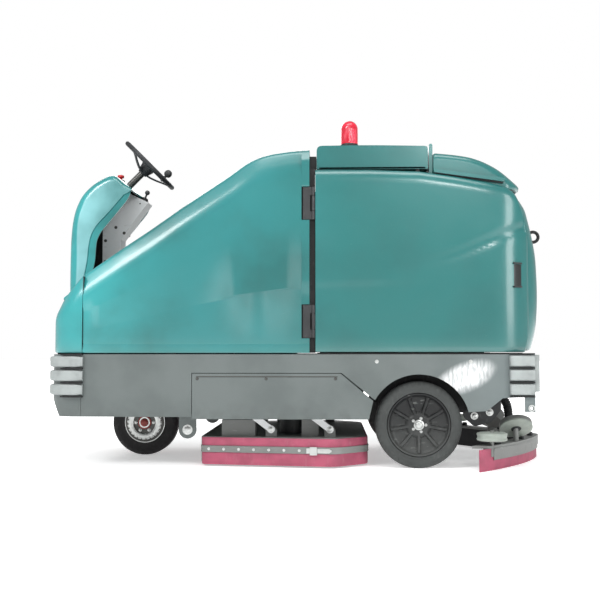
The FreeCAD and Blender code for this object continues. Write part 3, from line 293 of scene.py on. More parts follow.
FINISHES = {
    "grey_paint": fender_skin(),
    "light_grey_paint": coated("light_grey_paint", ink(240, 243, 244), 0.45, 0.0),
    "deck_grey": coated("deck_grey", ink(118, 120, 118), 0.5, 0.1),
    "pad_grey": rubbery("pad_grey", ink(156, 162, 161), 0.6, 0.2),
    "black_rubber": rubbery("black_rubber", ink(26, 27, 28), 0.75, 0.12),
    "teal_shell": painted("teal_shell"),
    "teal_shroud": painted("teal_shroud", painted_lit_sides=True),
    "teal_door": painted("teal_door", painted_slot_shade=True),
    "dark_plastic": rubbery("dark_plastic", ink(42, 44, 46), 0.5, 0.15, 800),
    "tank_white": tank_skin(),
    "bright_steel": steel("bright_steel", ink(205, 207, 205)),
    "dark_steel": steel("dark_steel", ink(92, 92, 90), 0.42),
    "red_lens": lens_skin(),
    "red_plastic": rubbery("red_plastic", ink(196, 30, 34), 0.4, 0.05, 900),
    "soft_grip": rubbery("soft_grip", ink(30, 32, 36), 0.55, 0.08, 420),
    "red_motor": coated("red_motor", ink(150, 46, 38), 0.5, 0.2),
    "black_tyre": rubbery("black_tyre", ink(34, 33, 34), 0.8, 0.12),
    "grey_tyre": rubbery("grey_tyre", ink(62, 65, 64), 0.78, 0.12),
    "wheel_grey": coated("wheel_grey", ink(20, 22, 23), 0.5, 0.1),
    "seat_vinyl": skin_of_seat(),
    "brush_fibre": bristle_skin(),
    "red_rubber": rubbery("red_rubber", ink(166, 76, 100), 0.62, 0.2),
    "roller_grey": rubbery("roller_grey", ink(150, 158, 150), 0.5, 0.2),
}

OTHER_FINISH = {"door_hinges": "dark_plastic", "squeegee_frame": "deck_grey"}
for row in frame["record"]["subparts"]:
    shown = frame["nodes"][row["node"]]
    shown.data.materials.clear()
    shown.data.materials.append(FINISHES[OTHER_FINISH.get(row["node"], row["material_slot"])])


# ---------------------------------------------------------------- shape helpers

def mesh_piece(name, points, faces, slot, body, covers=(), bevel=0.0, crease=38, finish=""):
    """A closed mesh from millimetre points, facing outwards, with its finish and its body."""
    points = np.asarray(points, float).reshape(-1, 3) * 0.001
    total = 0.0
    for face in faces:
        corner = points[face[0]]
        for one, two in zip(face[1:-1], face[2:]):
            total += corner @ np.cross(points[one], points[two])
    if total < 0:
        faces = [tuple(face[::-1]) for face in faces]
    mesh = bpy.data.meshes.new(name)
    mesh.from_pydata(points.tolist(), [], [tuple(int(i) for i in face) for face in faces])
    mesh.update()
    mesh.polygons.foreach_set("use_smooth", [True] * len(mesh.polygons))
    piece = bpy.data.objects.new(name, mesh)
    bpy.context.collection.objects.link(piece)
    if bevel:
        edge = piece.modifiers.new("edges", "BEVEL")
        edge.width = bevel * 0.001
        edge.segments = 3
        edge.limit_method = "ANGLE"
        edge.angle_limit = math.radians(30)
        edge.harden_normals = True
    else:
        mesh.set_sharp_from_angle(angle=math.radians(crease))
    mesh.materials.append(FINISHES[finish or slot])
    if body:
        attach(piece, body)
    for node in covers:
        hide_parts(node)
    return piece


def loft(rings, closed=False):
    """Points and faces of a skin over a row of equal loops, capped at both ends unless closed."""
    rings = np.asarray(rings, float)
    count, around = rings.shape[:2]
    faces = []
    for i in range(count if closed else count - 1):
        one, two = i * around, (i + 1) % count * around
        for j in range(around):
            k = (j + 1) % around
            faces.append((one + j, one + k, two + k, two + j))
    if not closed:
        faces.append(tuple(range(around)))
        faces.append(tuple(range((count - 1) * around, count * around))[::-1])
    return rings.reshape(-1, 3), faces


def together(*shapes):
    """Several point and face sets as one."""
    points, faces, start = [], [], 0
    for some, loops in shapes:
        some = np.asarray(some, float).reshape(-1, 3)
        points.append(some)
        faces += [tuple(i + start for i in face) for face in loops]
        start += len(some)
    return np.concatenate(points), faces


PLANES = {"XY": (0, 1, 2), "XZ": (0, 2, 1), "YZ": (1, 2, 0)}


def prism(plane, outline, low, high):
    """A flat outline in a plane, given thickness from low to high across it."""
    a, b, c = PLANES[plane]
    rings = np.zeros((2, len(outline), 3))
    rings[:, :, a] = [point[0] for point in outline]
    rings[:, :, b] = [point[1] for point in outline]
    rings[0, :, c] = low
    rings[1, :, c] = high
    return loft(rings)


def block(x, y, z):
    """A rectangular bar between pairs of coordinates, for edges to be rounded later."""
    return prism("XY", [(x[0], y[0]), (x[1], y[0]), (x[1], y[1]), (x[0], y[1])], *z)


def eased(outline, radius, steps=5, closed=True):
    """The outline with each corner swept round: a parabola from radius before it to radius after."""
    outline = [np.array(point, float) for point in outline]
    count = len(outline)
    made = []
    for i, point in enumerate(outline):
        if not closed and i in (0, count - 1):
            made.append(point)
            continue
        before, after = outline[i - 1] - point, outline[(i + 1) % count] - point
        reach = radius[i] if np.ndim(radius) else radius
        reach = min(reach, np.linalg.norm(before) * 0.48, np.linalg.norm(after) * 0.48)
        start = point + before / np.linalg.norm(before) * reach
        end = point + after / np.linalg.norm(after) * reach
        for t in np.linspace(0, 1, steps + 1):
            made.append(start * (1 - t) ** 2 + point * 2 * t * (1 - t) + end * t * t)
    return np.array(made)


def spun(profile, centre, axis="y", steps=64, ripple=None):
    """A profile of (radius, height) pairs turned about an axis; radius 0 closes it at a pole.

    Without poles the profile is a loop. ripple(angles, radius, height) may vary the radius
    and the height round the turn.
    """
    angles = np.arange(steps) * TAU / steps
    a, b, c = {"x": (1, 2, 0), "y": (2, 0, 1), "z": (0, 1, 2)}[axis]
    rows, points = [], []
    for radius, height in profile:
        if radius < 1e-6:
            ring = np.zeros((1, 3))
            ring[0, c] = height
        else:
            r, h = np.full(steps, float(radius)), np.full(steps, float(height))
            if ripple:
                r, h = ripple(angles, r, h)
            ring = np.zeros((steps, 3))
            ring[:, a], ring[:, b], ring[:, c] = r * np.cos(angles), r * np.sin(angles), h
        rows.append(len(points) + np.arange(len(ring)))
        points.extend(ring + np.array(centre, float))
    poles = profile[0][0] < 1e-6
    faces = []
    for one, two in zip(rows, rows[1:] if poles else rows[1:] + rows[:1]):
        for j in range(steps):
            k = (j + 1) % steps
            face = [one[j % len(one)], one[k % len(one)], two[k % len(two)], two[j % len(two)]]
            faces.append(tuple(dict.fromkeys(face)))
    return np.array(points), faces


def tube(path, radius, sides=12, closed=False):
    """A round bar along a path; radius may be one number or one for each point."""
    path = np.array(path, float)
    count = len(path)
    radius = np.broadcast_to(radius, (count,))
    if closed:
        ways = np.roll(path, -1, 0) - np.roll(path, 1, 0)
    else:
        ways = np.gradient(path, axis=0)
    ways /= np.linalg.norm(ways, axis=1)[:, None]
    side = np.cross(ways[0], (0.13, 0.21, 0.97))
    angles = np.arange(sides) * TAU / sides
    rings = []
    for point, way, reach in zip(path, ways, radius):
        side = side - way * (side @ way)
        side /= np.linalg.norm(side)
        other = np.cross(way, side)
        rings.append(point + reach * (np.outer(np.cos(angles), side) + np.outer(np.sin(angles), other)))
    return loft(rings, closed)


def ribbon(path, section, closed=False):
    """A section of (outward offset, z) pairs carried along a flat path of (x, y) points."""
    path = np.array(path, float)
    if closed:
        ways = np.roll(path, -1, 0) - np.roll(path, 1, 0)
    else:
        ways = np.gradient(path, axis=0)
    out = np.stack([ways[:, 1], -ways[:, 0]], 1)
    out /= np.linalg.norm(out, axis=1)[:, None]
    rings = np.zeros((len(path), len(section), 3))
    for j, (offset, z) in enumerate(section):
        rings[:, j, :2] = path + out * offset
        rings[:, j, 2] = z
    return loft(rings, closed)


def flipped(shape):
    """The shape on the machine's other side."""
    points, faces = shape
    return np.asarray(points) * (1, -1, 1), faces


def moved(shape, by):
    """The shape shifted by a step."""
    return np.asarray(shape[0]) + np.array(by, float), shape[1]


def sloped(shape, centre, axis, degrees):
    """The shape turned about an axis through a centre."""
    angle = math.radians(degrees)
    a, b = {"x": (1, 2), "y": (2, 0), "z": (0, 1)}[axis]
    points = np.array(shape[0], float) - centre
    one, two = points[:, a].copy(), points[:, b].copy()
    points[:, a] = one * math.cos(angle) - two * math.sin(angle)
    points[:, b] = one * math.sin(angle) + two * math.cos(angle)
    return points + centre, shape[1]


def curve(points, per_span=6):
    """A smooth line through the points, by Catmull-Rom spans."""
    points = np.array(points, float)
    ends = np.concatenate([[2 * points[0] - points[1]], points, [2 * points[-1] - points[-2]]])
    made = []
    for a, b, c, d in zip(ends, ends[1:], ends[2:], ends[3:]):
        for t in np.arange(per_span) / per_span:
            made.append(0.5 * (2 * b + (c - a) * t + (2 * a - 5 * b + 4 * c - d) * t ** 2
                               + (3 * b - a - 3 * c + d) * t ** 3))
    return np.array(made + [points[-1]])


def bolt_head(at, axis, radius=7, high=5, side=1):
    """A domed hexagon head on a washer, standing on the point along the axis."""
    profile = [(0, 0), (radius * 1.5, 0), (radius * 1.5, high * 0.25), (radius, high * 0.3),
               (radius * 0.95, high * 0.8), (radius * 0.7, high), (0, high)]
    if side < 0:
        profile = [(r, -h) for r, h in profile]

    def hexed(angles, r, h):
        corner = 1 / np.cos((angles % (TAU / 6)) - TAU / 12) * 0.92
        return (r * np.where(r < radius * 1.2, corner, 1), h)
    return spun(profile, at, axis, 24, hexed)


# ---------------------------------------------------------------- teal body

def side_top(x):
    """Height of the side panel's top edge at each x."""
    line = np.array([(-1211, 772), (-1042, 905), (-873, 1023), (-729, 1118), (-597, 1212),
                     (-448, 1310), (-358, 1370), (-280, 1428), (-220, 1457), (-160, 1473),
                     (-60, 1487), (60, 1493)])
    x = np.asarray(x, float)
    spread = [np.interp(x + d, line[:, 0], line[:, 1]) for d in (-24, -12, 0, 12, 24)]
    return np.minimum(np.mean(spread, axis=0), 1493)


def crown_section(top, deep, low=531.0):
    """Points (inset, z) round a hollow panel: side, crease, slanted shoulder, top and inside."""
    k = np.clip((top - low) / 300, 0.25, 1.0)
    outline = [(3, low), (0, low + 5), (0, low + 40 * k)]
    outline += [(0, low + (top - low - 105 * k) * f) for f in (0.35, 0.7)]
    outline += [(0, top - 98 * k), (34, top - 13 * k), (48, top), (deep, top), (deep, low)]
    return eased(outline, [1, 2, 5, 5, 5, 38 * k, 16 * k, 9, 3, 1], 6)


POCKETS = ((599, 757), (1151, 1309))


def side_face(x, z):
    """Distance of the side's skin from the middle: a slight swell above one shallow swage line."""
    swage = np.interp(x, [-1041, -600, 20], [742, 760, 842])
    ridge = 4.5 * np.tanh((z - swage) / 7) + 3.0 * np.sin(np.pi * np.clip((z - 531) / 480, 0, 1))
    return 554.5 - (9.0 - np.clip(ridge + 4.5, 0, 9)) * np.clip((z - 531) / 40, 0, 1)


def side_ring(x, top, sign, low=531.0):
    """One closed loop of the side panel at x."""
    section = crown_section(top, 90, low)
    y = np.where(section[:, 0] < 3, side_face(x, section[:, 1]), 554.5) - section[:, 0]
    return np.stack([np.full(len(y), x), sign * y, section[:, 1]], 1)


def body_side(name, node, sign, entry):
    """Side panel: the crown section carried along x under the top line, dipped at the entry.

    Its rear edge is built in strips that leave the pockets for the door hinges open.
    """
    stations = list(np.linspace(-1041, -17, 88))
    if entry:
        for edge in (-985, -955, -560, -500):
            stations += list(edge + np.linspace(-12, 12, 7))
    rings = []
    for x in sorted(stations):
        top = float(side_top(x))
        if entry and -990 < x < -500:
            top = min(top, float(np.interp(x, [-990, -955, -556, -500], [952, 622, 622, 1244])))
        rings.append(side_ring(x, top, sign))
    strips = [loft(rings), loft([side_ring(x, float(side_top(x)), sign, 1309.0) for x in (-17, 1, 20)])]
    for low, high in ((531, POCKETS[0][0]), (POCKETS[0][1], POCKETS[1][0])):
        heights = np.linspace(low, high, 14)
        loops = []
        for x in (-17, 1, 20):
            face = [(x, sign * float(side_face(x, z)), z) for z in heights]
            loops.append(face + [(x, sign * 466, high), (x, sign * 466, low)])
        strips.append(loft(loops))
    mesh_piece(name, *together(*strips), "teal_shell", "chassis", [node], crease=50)


def nose():
    """The nose: the crown section carried round the rounded front, its height following the slope."""
    corner = [(-1206 + 145 - 145 * math.cos(t), 410 + 145 * math.sin(t))
              for t in np.linspace(0, math.pi / 2, 16)]
    right = [(-1206, y) for y in np.linspace(0, 400, 12)[1:]] + corner
    right += [(x, 555) for x in np.linspace(-1055, -1043, 3)]
    path = [(x, -y) for x, y in right[::-1]] + [(-1206, 0)] + right
    rings = []
    path = np.array(path)
    ways = np.gradient(path, axis=0)
    out = np.stack([-ways[:, 1], ways[:, 0]], 1)
    out /= np.linalg.norm(out, axis=1)[:, None]
    for (x, y), (nx, ny) in zip(path, out):
        section = crown_section(float(np.interp(x, [-1211, -1043], [774, 904])), 90)
        sides = section[:, 0]
        rings.append(np.stack([x - nx * sides, y - ny * sides, section[:, 1]], 1))
    mesh_piece("nose_shell", *loft(rings), "teal_shell", "chassis", ["nose_fairing"], crease=50)
    bridge = prism("XY", eased([(-1160, -470), (-1047, -470), (-1047, -160), (-1112, -160),
                                (-1112, 160), (-1047, 160), (-1047, 470), (-1160, 470)], 12), 0, 8)
    points = np.array(bridge[0])
    points[:, 2] += np.interp(points[:, 0], [-1211, -1043], [744, 876])
    mesh_piece("nose_shelf", points, bridge[1], "teal_shell", "chassis")


def shroud():
    """The shroud: a deep U-shaped skin swept up the front curve, over the top and down the dash.

    Each ring spans from the front curve to the open rear edge; its corners are quarter
    ellipses, its face is slightly crowned, and its rear edges are stepped in as a rim.
    """
    front = [(-1211, 780), (-1214, 890), (-1214, 1000), (-1211, 1120), (-1200, 1215), (-1179, 1288),
             (-1145, 1346), (-1093, 1394), (-1038, 1426), (-1000, 1440), (-972, 1434), (-930, 1399),
             (-882, 1360)]
    rear = [(-1108, 862), (-1092, 925), (-1077, 994), (-1072, 1060), (-1066, 1102), (-1051, 1136),
            (-1033, 1162), (-1005, 1194), (-978, 1226), (-952, 1258), (-934, 1280), (-910, 1312),
            (-891, 1350)]
    rings, linings = [], []
    for start, end in zip(curve(front, 7), curve(rear, 7)):
        way = end - start
        deep = np.linalg.norm(way)
        way /= deep
        turn = min(float(np.interp(start[1], [1300, 1430], [62, 42])), deep * 0.5)
        rim = min(36.0, deep * 0.3)

        def half(wide, thick, end=0.0):
            """One side of a ring: rim, flat and rounded front corner."""
            line = [(deep - end, wide - 5), (deep - rim, wide - 5), (deep - rim - 4, wide),
                    ((turn + deep - rim) / 2, wide)]
            for t in np.linspace(0, math.pi / 2, 13):
                line.append((thick + (turn - thick) * (1 - math.sin(t)), wide - turn + turn * math.cos(t)))
            for f in (0.66, 0.33):
                line.append((thick - 5 * (1 - f), (wide - turn) * f))
            return line

        def ring(outer, inner, front, back):
            """A whole ring from its two halves, laid along the cut from front to rear."""
            loop = outer + [(front, 0)] + [(u, -y) for u, y in outer[::-1]]
            loop += [(max(u, back), -y) for u, y in inner] + [(back, 0)]
            loop += [(max(u, back), y) for u, y in inner[::-1]]
            return [(start[0] + way[0] * (u + 6), y, start[1] + way[1] * (u + 6)) for u, y in loop]
        rings.append(ring(half(249.5, 0.0), half(241.0, 8.0), -6, 2))
        lined = [(max(u, 3), y) for u, y in half(240.5, 8.5, 3)]
        linings.append(ring(lined, half(238.0, 11.0, 3), 3, 6))
    mesh_piece("shroud_skin", *loft(rings), "teal_shell", "chassis", ["front_shroud"], crease=50,
               finish="teal_shroud")
    mesh_piece("shroud_lining", *loft(linings[3:-2]), "black_rubber", "chassis", crease=50)
    collar = spun([(9, 0), (22, 0), (22, 30), (19, 34), (9, 34)], (-1016, 60, 1428), "z", 40)
    mesh_piece("stop_collar", *collar, "dark_plastic", "chassis")


def door_line(drop):
    """Plan of a door's outer face from its hinge edge to its rear edge, moved in by drop."""
    path = [(48, 555), (880, 555), (935, 549), (982, 532), (1016, 508), (1036, 490), (1046, 474)]
    path = np.array(path, float)
    smooth = eased(path, [0, 60, 24, 24, 18, 8, 0], 4, closed=False)
    smooth = np.concatenate([np.linspace(path[0], smooth[1], 34)[:-1], smooth[1:]])
    ways = np.gradient(smooth, axis=0)
    out = np.stack([-ways[:, 1], ways[:, 0]], 1)
    out /= np.linalg.norm(out, axis=1)[:, None]
    return smooth - out * drop, out


def door_sculpt(x, z):
    """How far the door's face is pressed in: two long lobes that open towards the tail."""
    grow = np.clip((x - 450) / 480, 0, 1) ** 1.3
    split = np.interp(x, [400, 700, 900, 1048], [900, 985, 1070, 1120])
    crease = 9.0 * grow * np.exp(-((z - split) / 24) ** 2)
    swage = np.interp(x, [53, 500, 1048], [846, 862, 850])
    line = 2.4 * (1 - np.tanh((z - swage) / 14)) / 2 * np.clip((700 - x) / 400, 0, 1)
    return crease + line


def door(side, sign):
    """A door: its plan line lofted with a section that rounds over at the top and bottom."""
    path, out = door_line(0)
    top_line = [(40, 1391), (300, 1390), (536, 1381), (700, 1356), (850, 1328), (950, 1305),
                (985, 1284), (1004, 1255), (1020, 1215), (1034, 1150), (1048, 1085)]
    low_line = [(40, 535), (1024, 535), (1036, 580), (1044, 640), (1048, 720)]
    rings = []
    for (x, y), (nx, ny) in zip(path, out):
        top = float(np.interp(x, *zip(*top_line)))
        low = float(np.interp(x, *zip(*low_line)))
        heights = low + 12 + (top - low - 62) * np.linspace(0, 1, 46)
        face = [(float(door_sculpt(x, z)), z) for z in heights]
        section = [(12, low), (3, low + 2)] + face
        section += [(2, top - 34), (9, top - 14), (20, top - 3), (30, top), (38, top), (44, top - 4)]
        section += [(12 if x < 1000 else 9, top - 40), (11, low + 30), (16, low)]
        rings.append([(x - nx * d, sign * (y - ny * d), z) for d, z in section])
    rings = np.array(rings)
    piece = mesh_piece("door_skin_" + side, *loft(rings), "teal_shell", "side_door_" + side,
                       ["side_door_" + side], crease=50, finish="teal_door")
    hinge = []
    for low in (602, 1154):
        z = (low + 152 * 0.27, low + 152 * 0.73)
        hinge.append(spun([(0, z[0]), (8, z[0]), (8, z[1]), (0, z[1])], (38, 550, 0), "z", 24))
        hinge.append(block((40, 56), (545, 550), z))
    frame_z = (834, 950)
    rim = [(966, 546), (1008, 522), (1004, 514), (962, 538)]
    for z in ((frame_z[0], frame_z[0] + 7), (frame_z[1] - 7, frame_z[1])):
        hinge.append(prism("XY", [(x, y + 1.5) for x, y in rim], *z))
    shape = together(*hinge)
    shape = shape if sign > 0 else flipped(shape)
    mesh_piece("door_hardware_" + side, *shape, "dark_plastic", "side_door_" + side, bevel=0.8)
    return piece


for word, way in (("left", -1), ("right", 1)):
    body_side("side_shell_" + word, "body_side_" + word, way, way > 0)
    door(word, way)
nose()
shroud()

# black seams between the shells, and the pockets round the door hinges
for word, way in (("left", -1), ("right", 1)):
    seam = [block((20.5, 46), (500, 537), (532, 1394)), block((-1041.5, -1040), (480, 551), (533, 890)),
            block((21, 52), (430, 496), (1388, 1462)), block((56, 1000), (470, 545), (525.5, 532.5))]
    for low, high in POCKETS:
        seam.append(block((-16.5, 20), (530, 540), (low, high)))
    shape = together(*seam)
    mesh_piece("seam_backing_" + word, *(shape if way > 0 else flipped(shape)), "black_rubber", "chassis")


def wheel_bay():
    """Black liners inside the arches, strips behind the service panels' gaps, and rear brackets."""
    liner = [prism("XZ", [(345, 250), (345, 420), (430, 505), (620, 505), (735, 400), (760, 250)], 418, 424)]
    liner += [block((-536, -512), (541, 549), (250, 448)), block((-530, 300), (541, 549), (426, 448)),
              prism("XZ", [(283, 440), (300, 440), (324, 330), (324, 318), (300, 318)], 541, 549)]
    shape = together(*liner)
    mesh_piece("arch_liners", *together(shape, flipped(shape)), "black_rubber", "chassis")
    bracket = eased([(742, 340), (925, 340), (925, 262), (880, 205), (800, 184), (752, 226)], 12, 4)
    plate = together(prism("XZ", bracket, 380, 398), block((760, 800), (396, 470), (262, 330)))
    mesh_piece("rear_brackets", *together(plate, flipped(plate)), "dark_plastic", "chassis", bevel=2)
    bolts = together(bolt_head((800, 397.5, 232), "y", 12, 8), bolt_head((872, 397.5, 250), "y", 12, 8))
    mesh_piece("bracket_bolts", *together(bolts, flipped(bolts)), "bright_steel", "chassis")


wheel_bay()


def hood_and_lid():
    """The pump hood and the tank lid: outlines given soft edges, with a lip under each."""
    outline = [(54, 1400), (54, 1512), (300, 1514), (578, 1508), (578, 1400)]
    shape = prism("XZ", eased(outline, [1, 26, 200, 14, 1], 6), -500, 500)
    mesh_piece("hood_shell", *shape, "teal_shell", "hood", ["hood"], bevel=16)
    lip = ribbon(eased([(58, -497), (574, -497), (574, 497), (58, 497)], 8), [(0, 1401), (3, 1401), (3, 1409),
                                                                              (0, 1409)], True)
    mesh_piece("hood_lip", *lip, "black_rubber", "hood")
    top = [(603, 1374), (603, 1478), (706, 1468), (777, 1456), (847, 1435), (916, 1403), (963, 1371),
           (1008, 1333), (1025, 1314), (1013, 1296), (975, 1319)]
    line = eased(top, [2, 16, 40, 30, 30, 30, 30, 20, 10, 8, 30], 5)
    rings = []
    for y in np.concatenate([-515 + 40 * (1 - np.cos(np.linspace(0, math.pi / 2, 9))),
                             np.linspace(-475, 475, 26)[1:-1],
                             515 - 40 * (1 - np.cos(np.linspace(math.pi / 2, 0, 9)))]):
        edge = max(0.0, abs(y) - 475) / 40
        drop = 34 * (1 - math.sqrt(max(0.0, 1 - edge ** 2)))
        far = np.clip((abs(y) - 385) / 130, 0, 1)
        pulled = line.copy()
        back = np.clip((line[:, 0] - 780) / 245, 0, 1)
        pulled[:, 0] -= back * 95 * (1 - math.sqrt(max(0.0, 1 - far ** 2)))
        upper = np.clip((line[:, 1] - 1330) / 60, 0, 1)
        pulled[:, 1] -= drop * upper * np.clip((line[:, 1] - 1300) / 150, 0, 1)
        rings.append([(x, y, z) for x, z in pulled])
    mesh_piece("lid_shell", *loft(rings), "teal_shell", "rear_lid", ["rear_lid"], crease=50)
    edge_line = eased([(604, 1377), (604, 1393), (925, 1347), (940, 1340), (925, 1331)], 3, 3)
    lip = prism("XZ", edge_line, 508, 534)
    # painted shadow: a black strip under the lid's lip stands in for the shadow band beneath it
    shadow_strip = prism("XZ", [(604, 1372.5), (604, 1377.5), (925, 1331), (925, 1323)], 500, 524)
    mesh_piece("lid_lip", *together(lip, flipped(lip)), "teal_shell", "rear_lid", bevel=2.5)
    mesh_piece("lid_shadow_strip", *together(shadow_strip, flipped(shadow_strip)), "black_rubber", "rear_lid")


hood_and_lid()


def tail():
    """The recovery tank: the tail's profile narrowed round its corners, with mouth and hinge wall."""
    profile = [(430, 542), (1080, 542), (1108, 640), (1117, 760), (1118, 850), (1112, 1000),
               (1092, 1110), (1064, 1225), (1034, 1270), (1010, 1284), (975, 1298), (583, 1354),
               (430, 1374)]
    line = eased(profile, [2, 14, 60, 60, 60, 60, 60, 30, 12, 12, 20, 10, 2], 5)
    rings = []
    stations = np.concatenate([-470 + 150 * (1 - np.cos(np.linspace(0, math.pi / 2, 14))),
                               np.linspace(-320, 320, 18)[1:-1],
                               470 - 150 * (1 - np.cos(np.linspace(math.pi / 2, 0, 14)))])
    for y in stations:
        far = np.clip((abs(y) - 320) / 150, 0, 1)
        pull = 150 * (1 - math.sqrt(max(0.0, 1 - far ** 2)))
        row = line.copy()
        row[:, 0] = np.minimum(row[:, 0], row[:, 0] - pull * np.clip((row[:, 0] - 900) / 150, 0, 1))
        rings.append([(x, y, z) for x, z in row])
    mesh_piece("tank_shell", *loft(rings), "teal_shell", "chassis", ["recovery_tank"], crease=50)
    wall = [(586, 1345), (586, 1512), (589, 1518), (596, 1518), (599, 1512), (599, 1345)]
    mesh_piece("hinge_wall", *prism("XZ", wall, -496, 496), "teal_shell", "chassis", bevel=2)
    collar = spun([(28, 400), (32, 402), (32, 545), (25.5, 545), (25.5, 401)], (840, 0, 0), "z", 40)
    mesh_piece("hose_stub", *collar, "black_rubber", "chassis")
    mouth = ribbon(eased([(655, -235), (905, -235), (905, 235), (655, 235)], 30),
                   [(0, 0), (10, 0), (10, 16), (4, 20), (0, 16)], True)
    points = np.array(mouth[0])
    points[:, 2] += 1302 - (points[:, 0] - 900) * 0.146
    mesh_piece("mouth_rim", points, mouth[1], "black_rubber", "chassis")
    blocks = together(*[moved(block((-9, 9), (-7, 7), (-9, 9)), at) for at in
                        ((70, -492, 1391), (530, -492, 1389), (70, 492, 1391), (530, 492, 1389))])
    mesh_piece("hood_stops", *blocks, "black_rubber", "chassis", bevel=1.5)


tail()


# ---------------------------------------------------------------- wheels

def tyre(name, node, body, centre, outer, inner, low, high, lugs, slot):
    """A solid tyre: rounded tread and sidewall loop; short lugs are notched into both shoulders."""
    wide = high - low
    profile = eased([(inner, low), (inner + 12, low + 3), (outer - 16, low), (outer, low + 12),
                     (outer, high - 12), (outer - 16, high), (inner + 12, high - 3), (inner, high)],
                    [2, 6, 10, 10, 10, 10, 6, 2], 5)

    def notched(angles, r, h):
        """Cuts short lugs into both shoulders of the tread."""
        wave = np.clip(np.cos(angles * lugs) * 3, -1, 1) * 0.5 + 0.5
        near = np.clip(1 - np.minimum(h - low, high - h) / (wide * 0.2), 0, 1)
        outward = np.clip((r - (outer - 26)) / 20, 0, 1)
        inward = np.sign((low + high) / 2 - h)
        return r - 3.2 * wave * near * outward, h + inward * 1.6 * wave * outward * near
    mesh_piece(name, *spun(profile, centre, "y", lugs * 6, notched), slot, body, [node], crease=50)


def rear_disc(name, node, body, sign):
    """A wheel disc: dished plate with nine raised ribs, a rim lip, and a domed hub cap."""
    out = 535.0
    profile = [(18, 442), (146, 442), (148, 446), (148, out - 8), (144, out - 2), (138, out - 2),
               (133, out - 12), (126, out - 20), (118, out - 22), (110, out - 22), (100, out - 22),
               (90, out - 22), (80, out - 22), (70, out - 22), (62, out - 21), (54, out - 12),
               (46, out - 6), (40, out - 4), (18, out - 4)]

    def ribbed(angles, r, h):
        """Raises nine ribs from the dished plate."""
        turn = (angles * 9 / TAU) % 1 - 0.5
        reach = np.abs(turn) * TAU / 9 * r
        rib = np.clip((9.5 - reach) / 3.5, 0, 1)
        face = ((h > out - 23) & (h < out - 11) & (r < 131) & (r > 50))
        return r, h + np.where(face, rib * (out - 8 - h), 0)
    shape = spun(profile, (524, 0, 200), "y", 216, ribbed)
    shape = shape if sign > 0 else flipped(shape)
    mesh_piece(name, *shape, "wheel_grey", body, [node], crease=35)
    cap = spun([(0, 547), (10, 546), (15, 543), (17, 538), (23, 536), (25, 532), (18, 530), (0, 530)],
               (524, 0, 200), "y", 48)
    nuts = [bolt_head((524 + 32 * math.cos(a), 531, 200 + 32 * math.sin(a)), "y", 4.5, 6)
            for a in np.arange(5) * TAU / 5]
    shape = together(cap, *nuts)
    mesh_piece(name + "_cap", *(shape if sign > 0 else flipped(shape)), "bright_steel", body)


for word, way in (("left", -1), ("right", 1)):
    span = (440, 535) if way > 0 else (-535, -440)
    tyre("tyre_" + word, "rear_tyre_" + word, "rear_wheel_" + word, (524, 0, 200), 200, 148, *span, 44,
         "grey_tyre")
    rear_disc("disc_" + word, "rear_wheel_" + word, "rear_wheel_" + word, way)
tyre("tyre_front", "front_tyre", "front_wheel", (-850, 0, 169), 169, 105, -48, 48, 36, "black_tyre")


def drive_hub():
    """The driven hub's face: dark dish, red-brown cap, ring of bolts and the toothed ring's edge."""
    dish = spun([(0, -46), (60, -47), (88, -50), (100, -46), (104, -38), (104, -30), (0, -30)],
                (-850, 0, 169), "y", 96)
    mesh_piece("drive_dish", *dish, "dark_steel", "front_wheel")

    def toothed(angles, r, h):
        """Cuts teeth round the outer edge."""
        tooth = np.clip(np.sin(angles * 24) * 2.5, -1, 1)
        return np.where(r > 80, r + tooth * 3.2, r), h
    ring = spun([(58, -49), (58, -55), (62, -57), (82, -57), (86, -55), (86, -49)],
                (-850, 0, 169), "y", 288, toothed)
    cap = spun([(0, -66), (14, -65), (20, -61), (22, -55), (34, -54), (36, -48), (0, -48)],
               (-850, 0, 169), "y", 48)
    bolts = [bolt_head((-850 + 46 * math.cos(a), -48, 169 + 46 * math.sin(a)), "y", 5.5, 8, -1)
             for a in np.arange(6) * TAU / 6]
    mesh_piece("drive_gear", *together(ring, *bolts), "bright_steel", "front_wheel")
    mesh_piece("drive_cap", *cap, "red_motor", "front_wheel")


drive_hub()


# ---------------------------------------------------------------- chassis trim

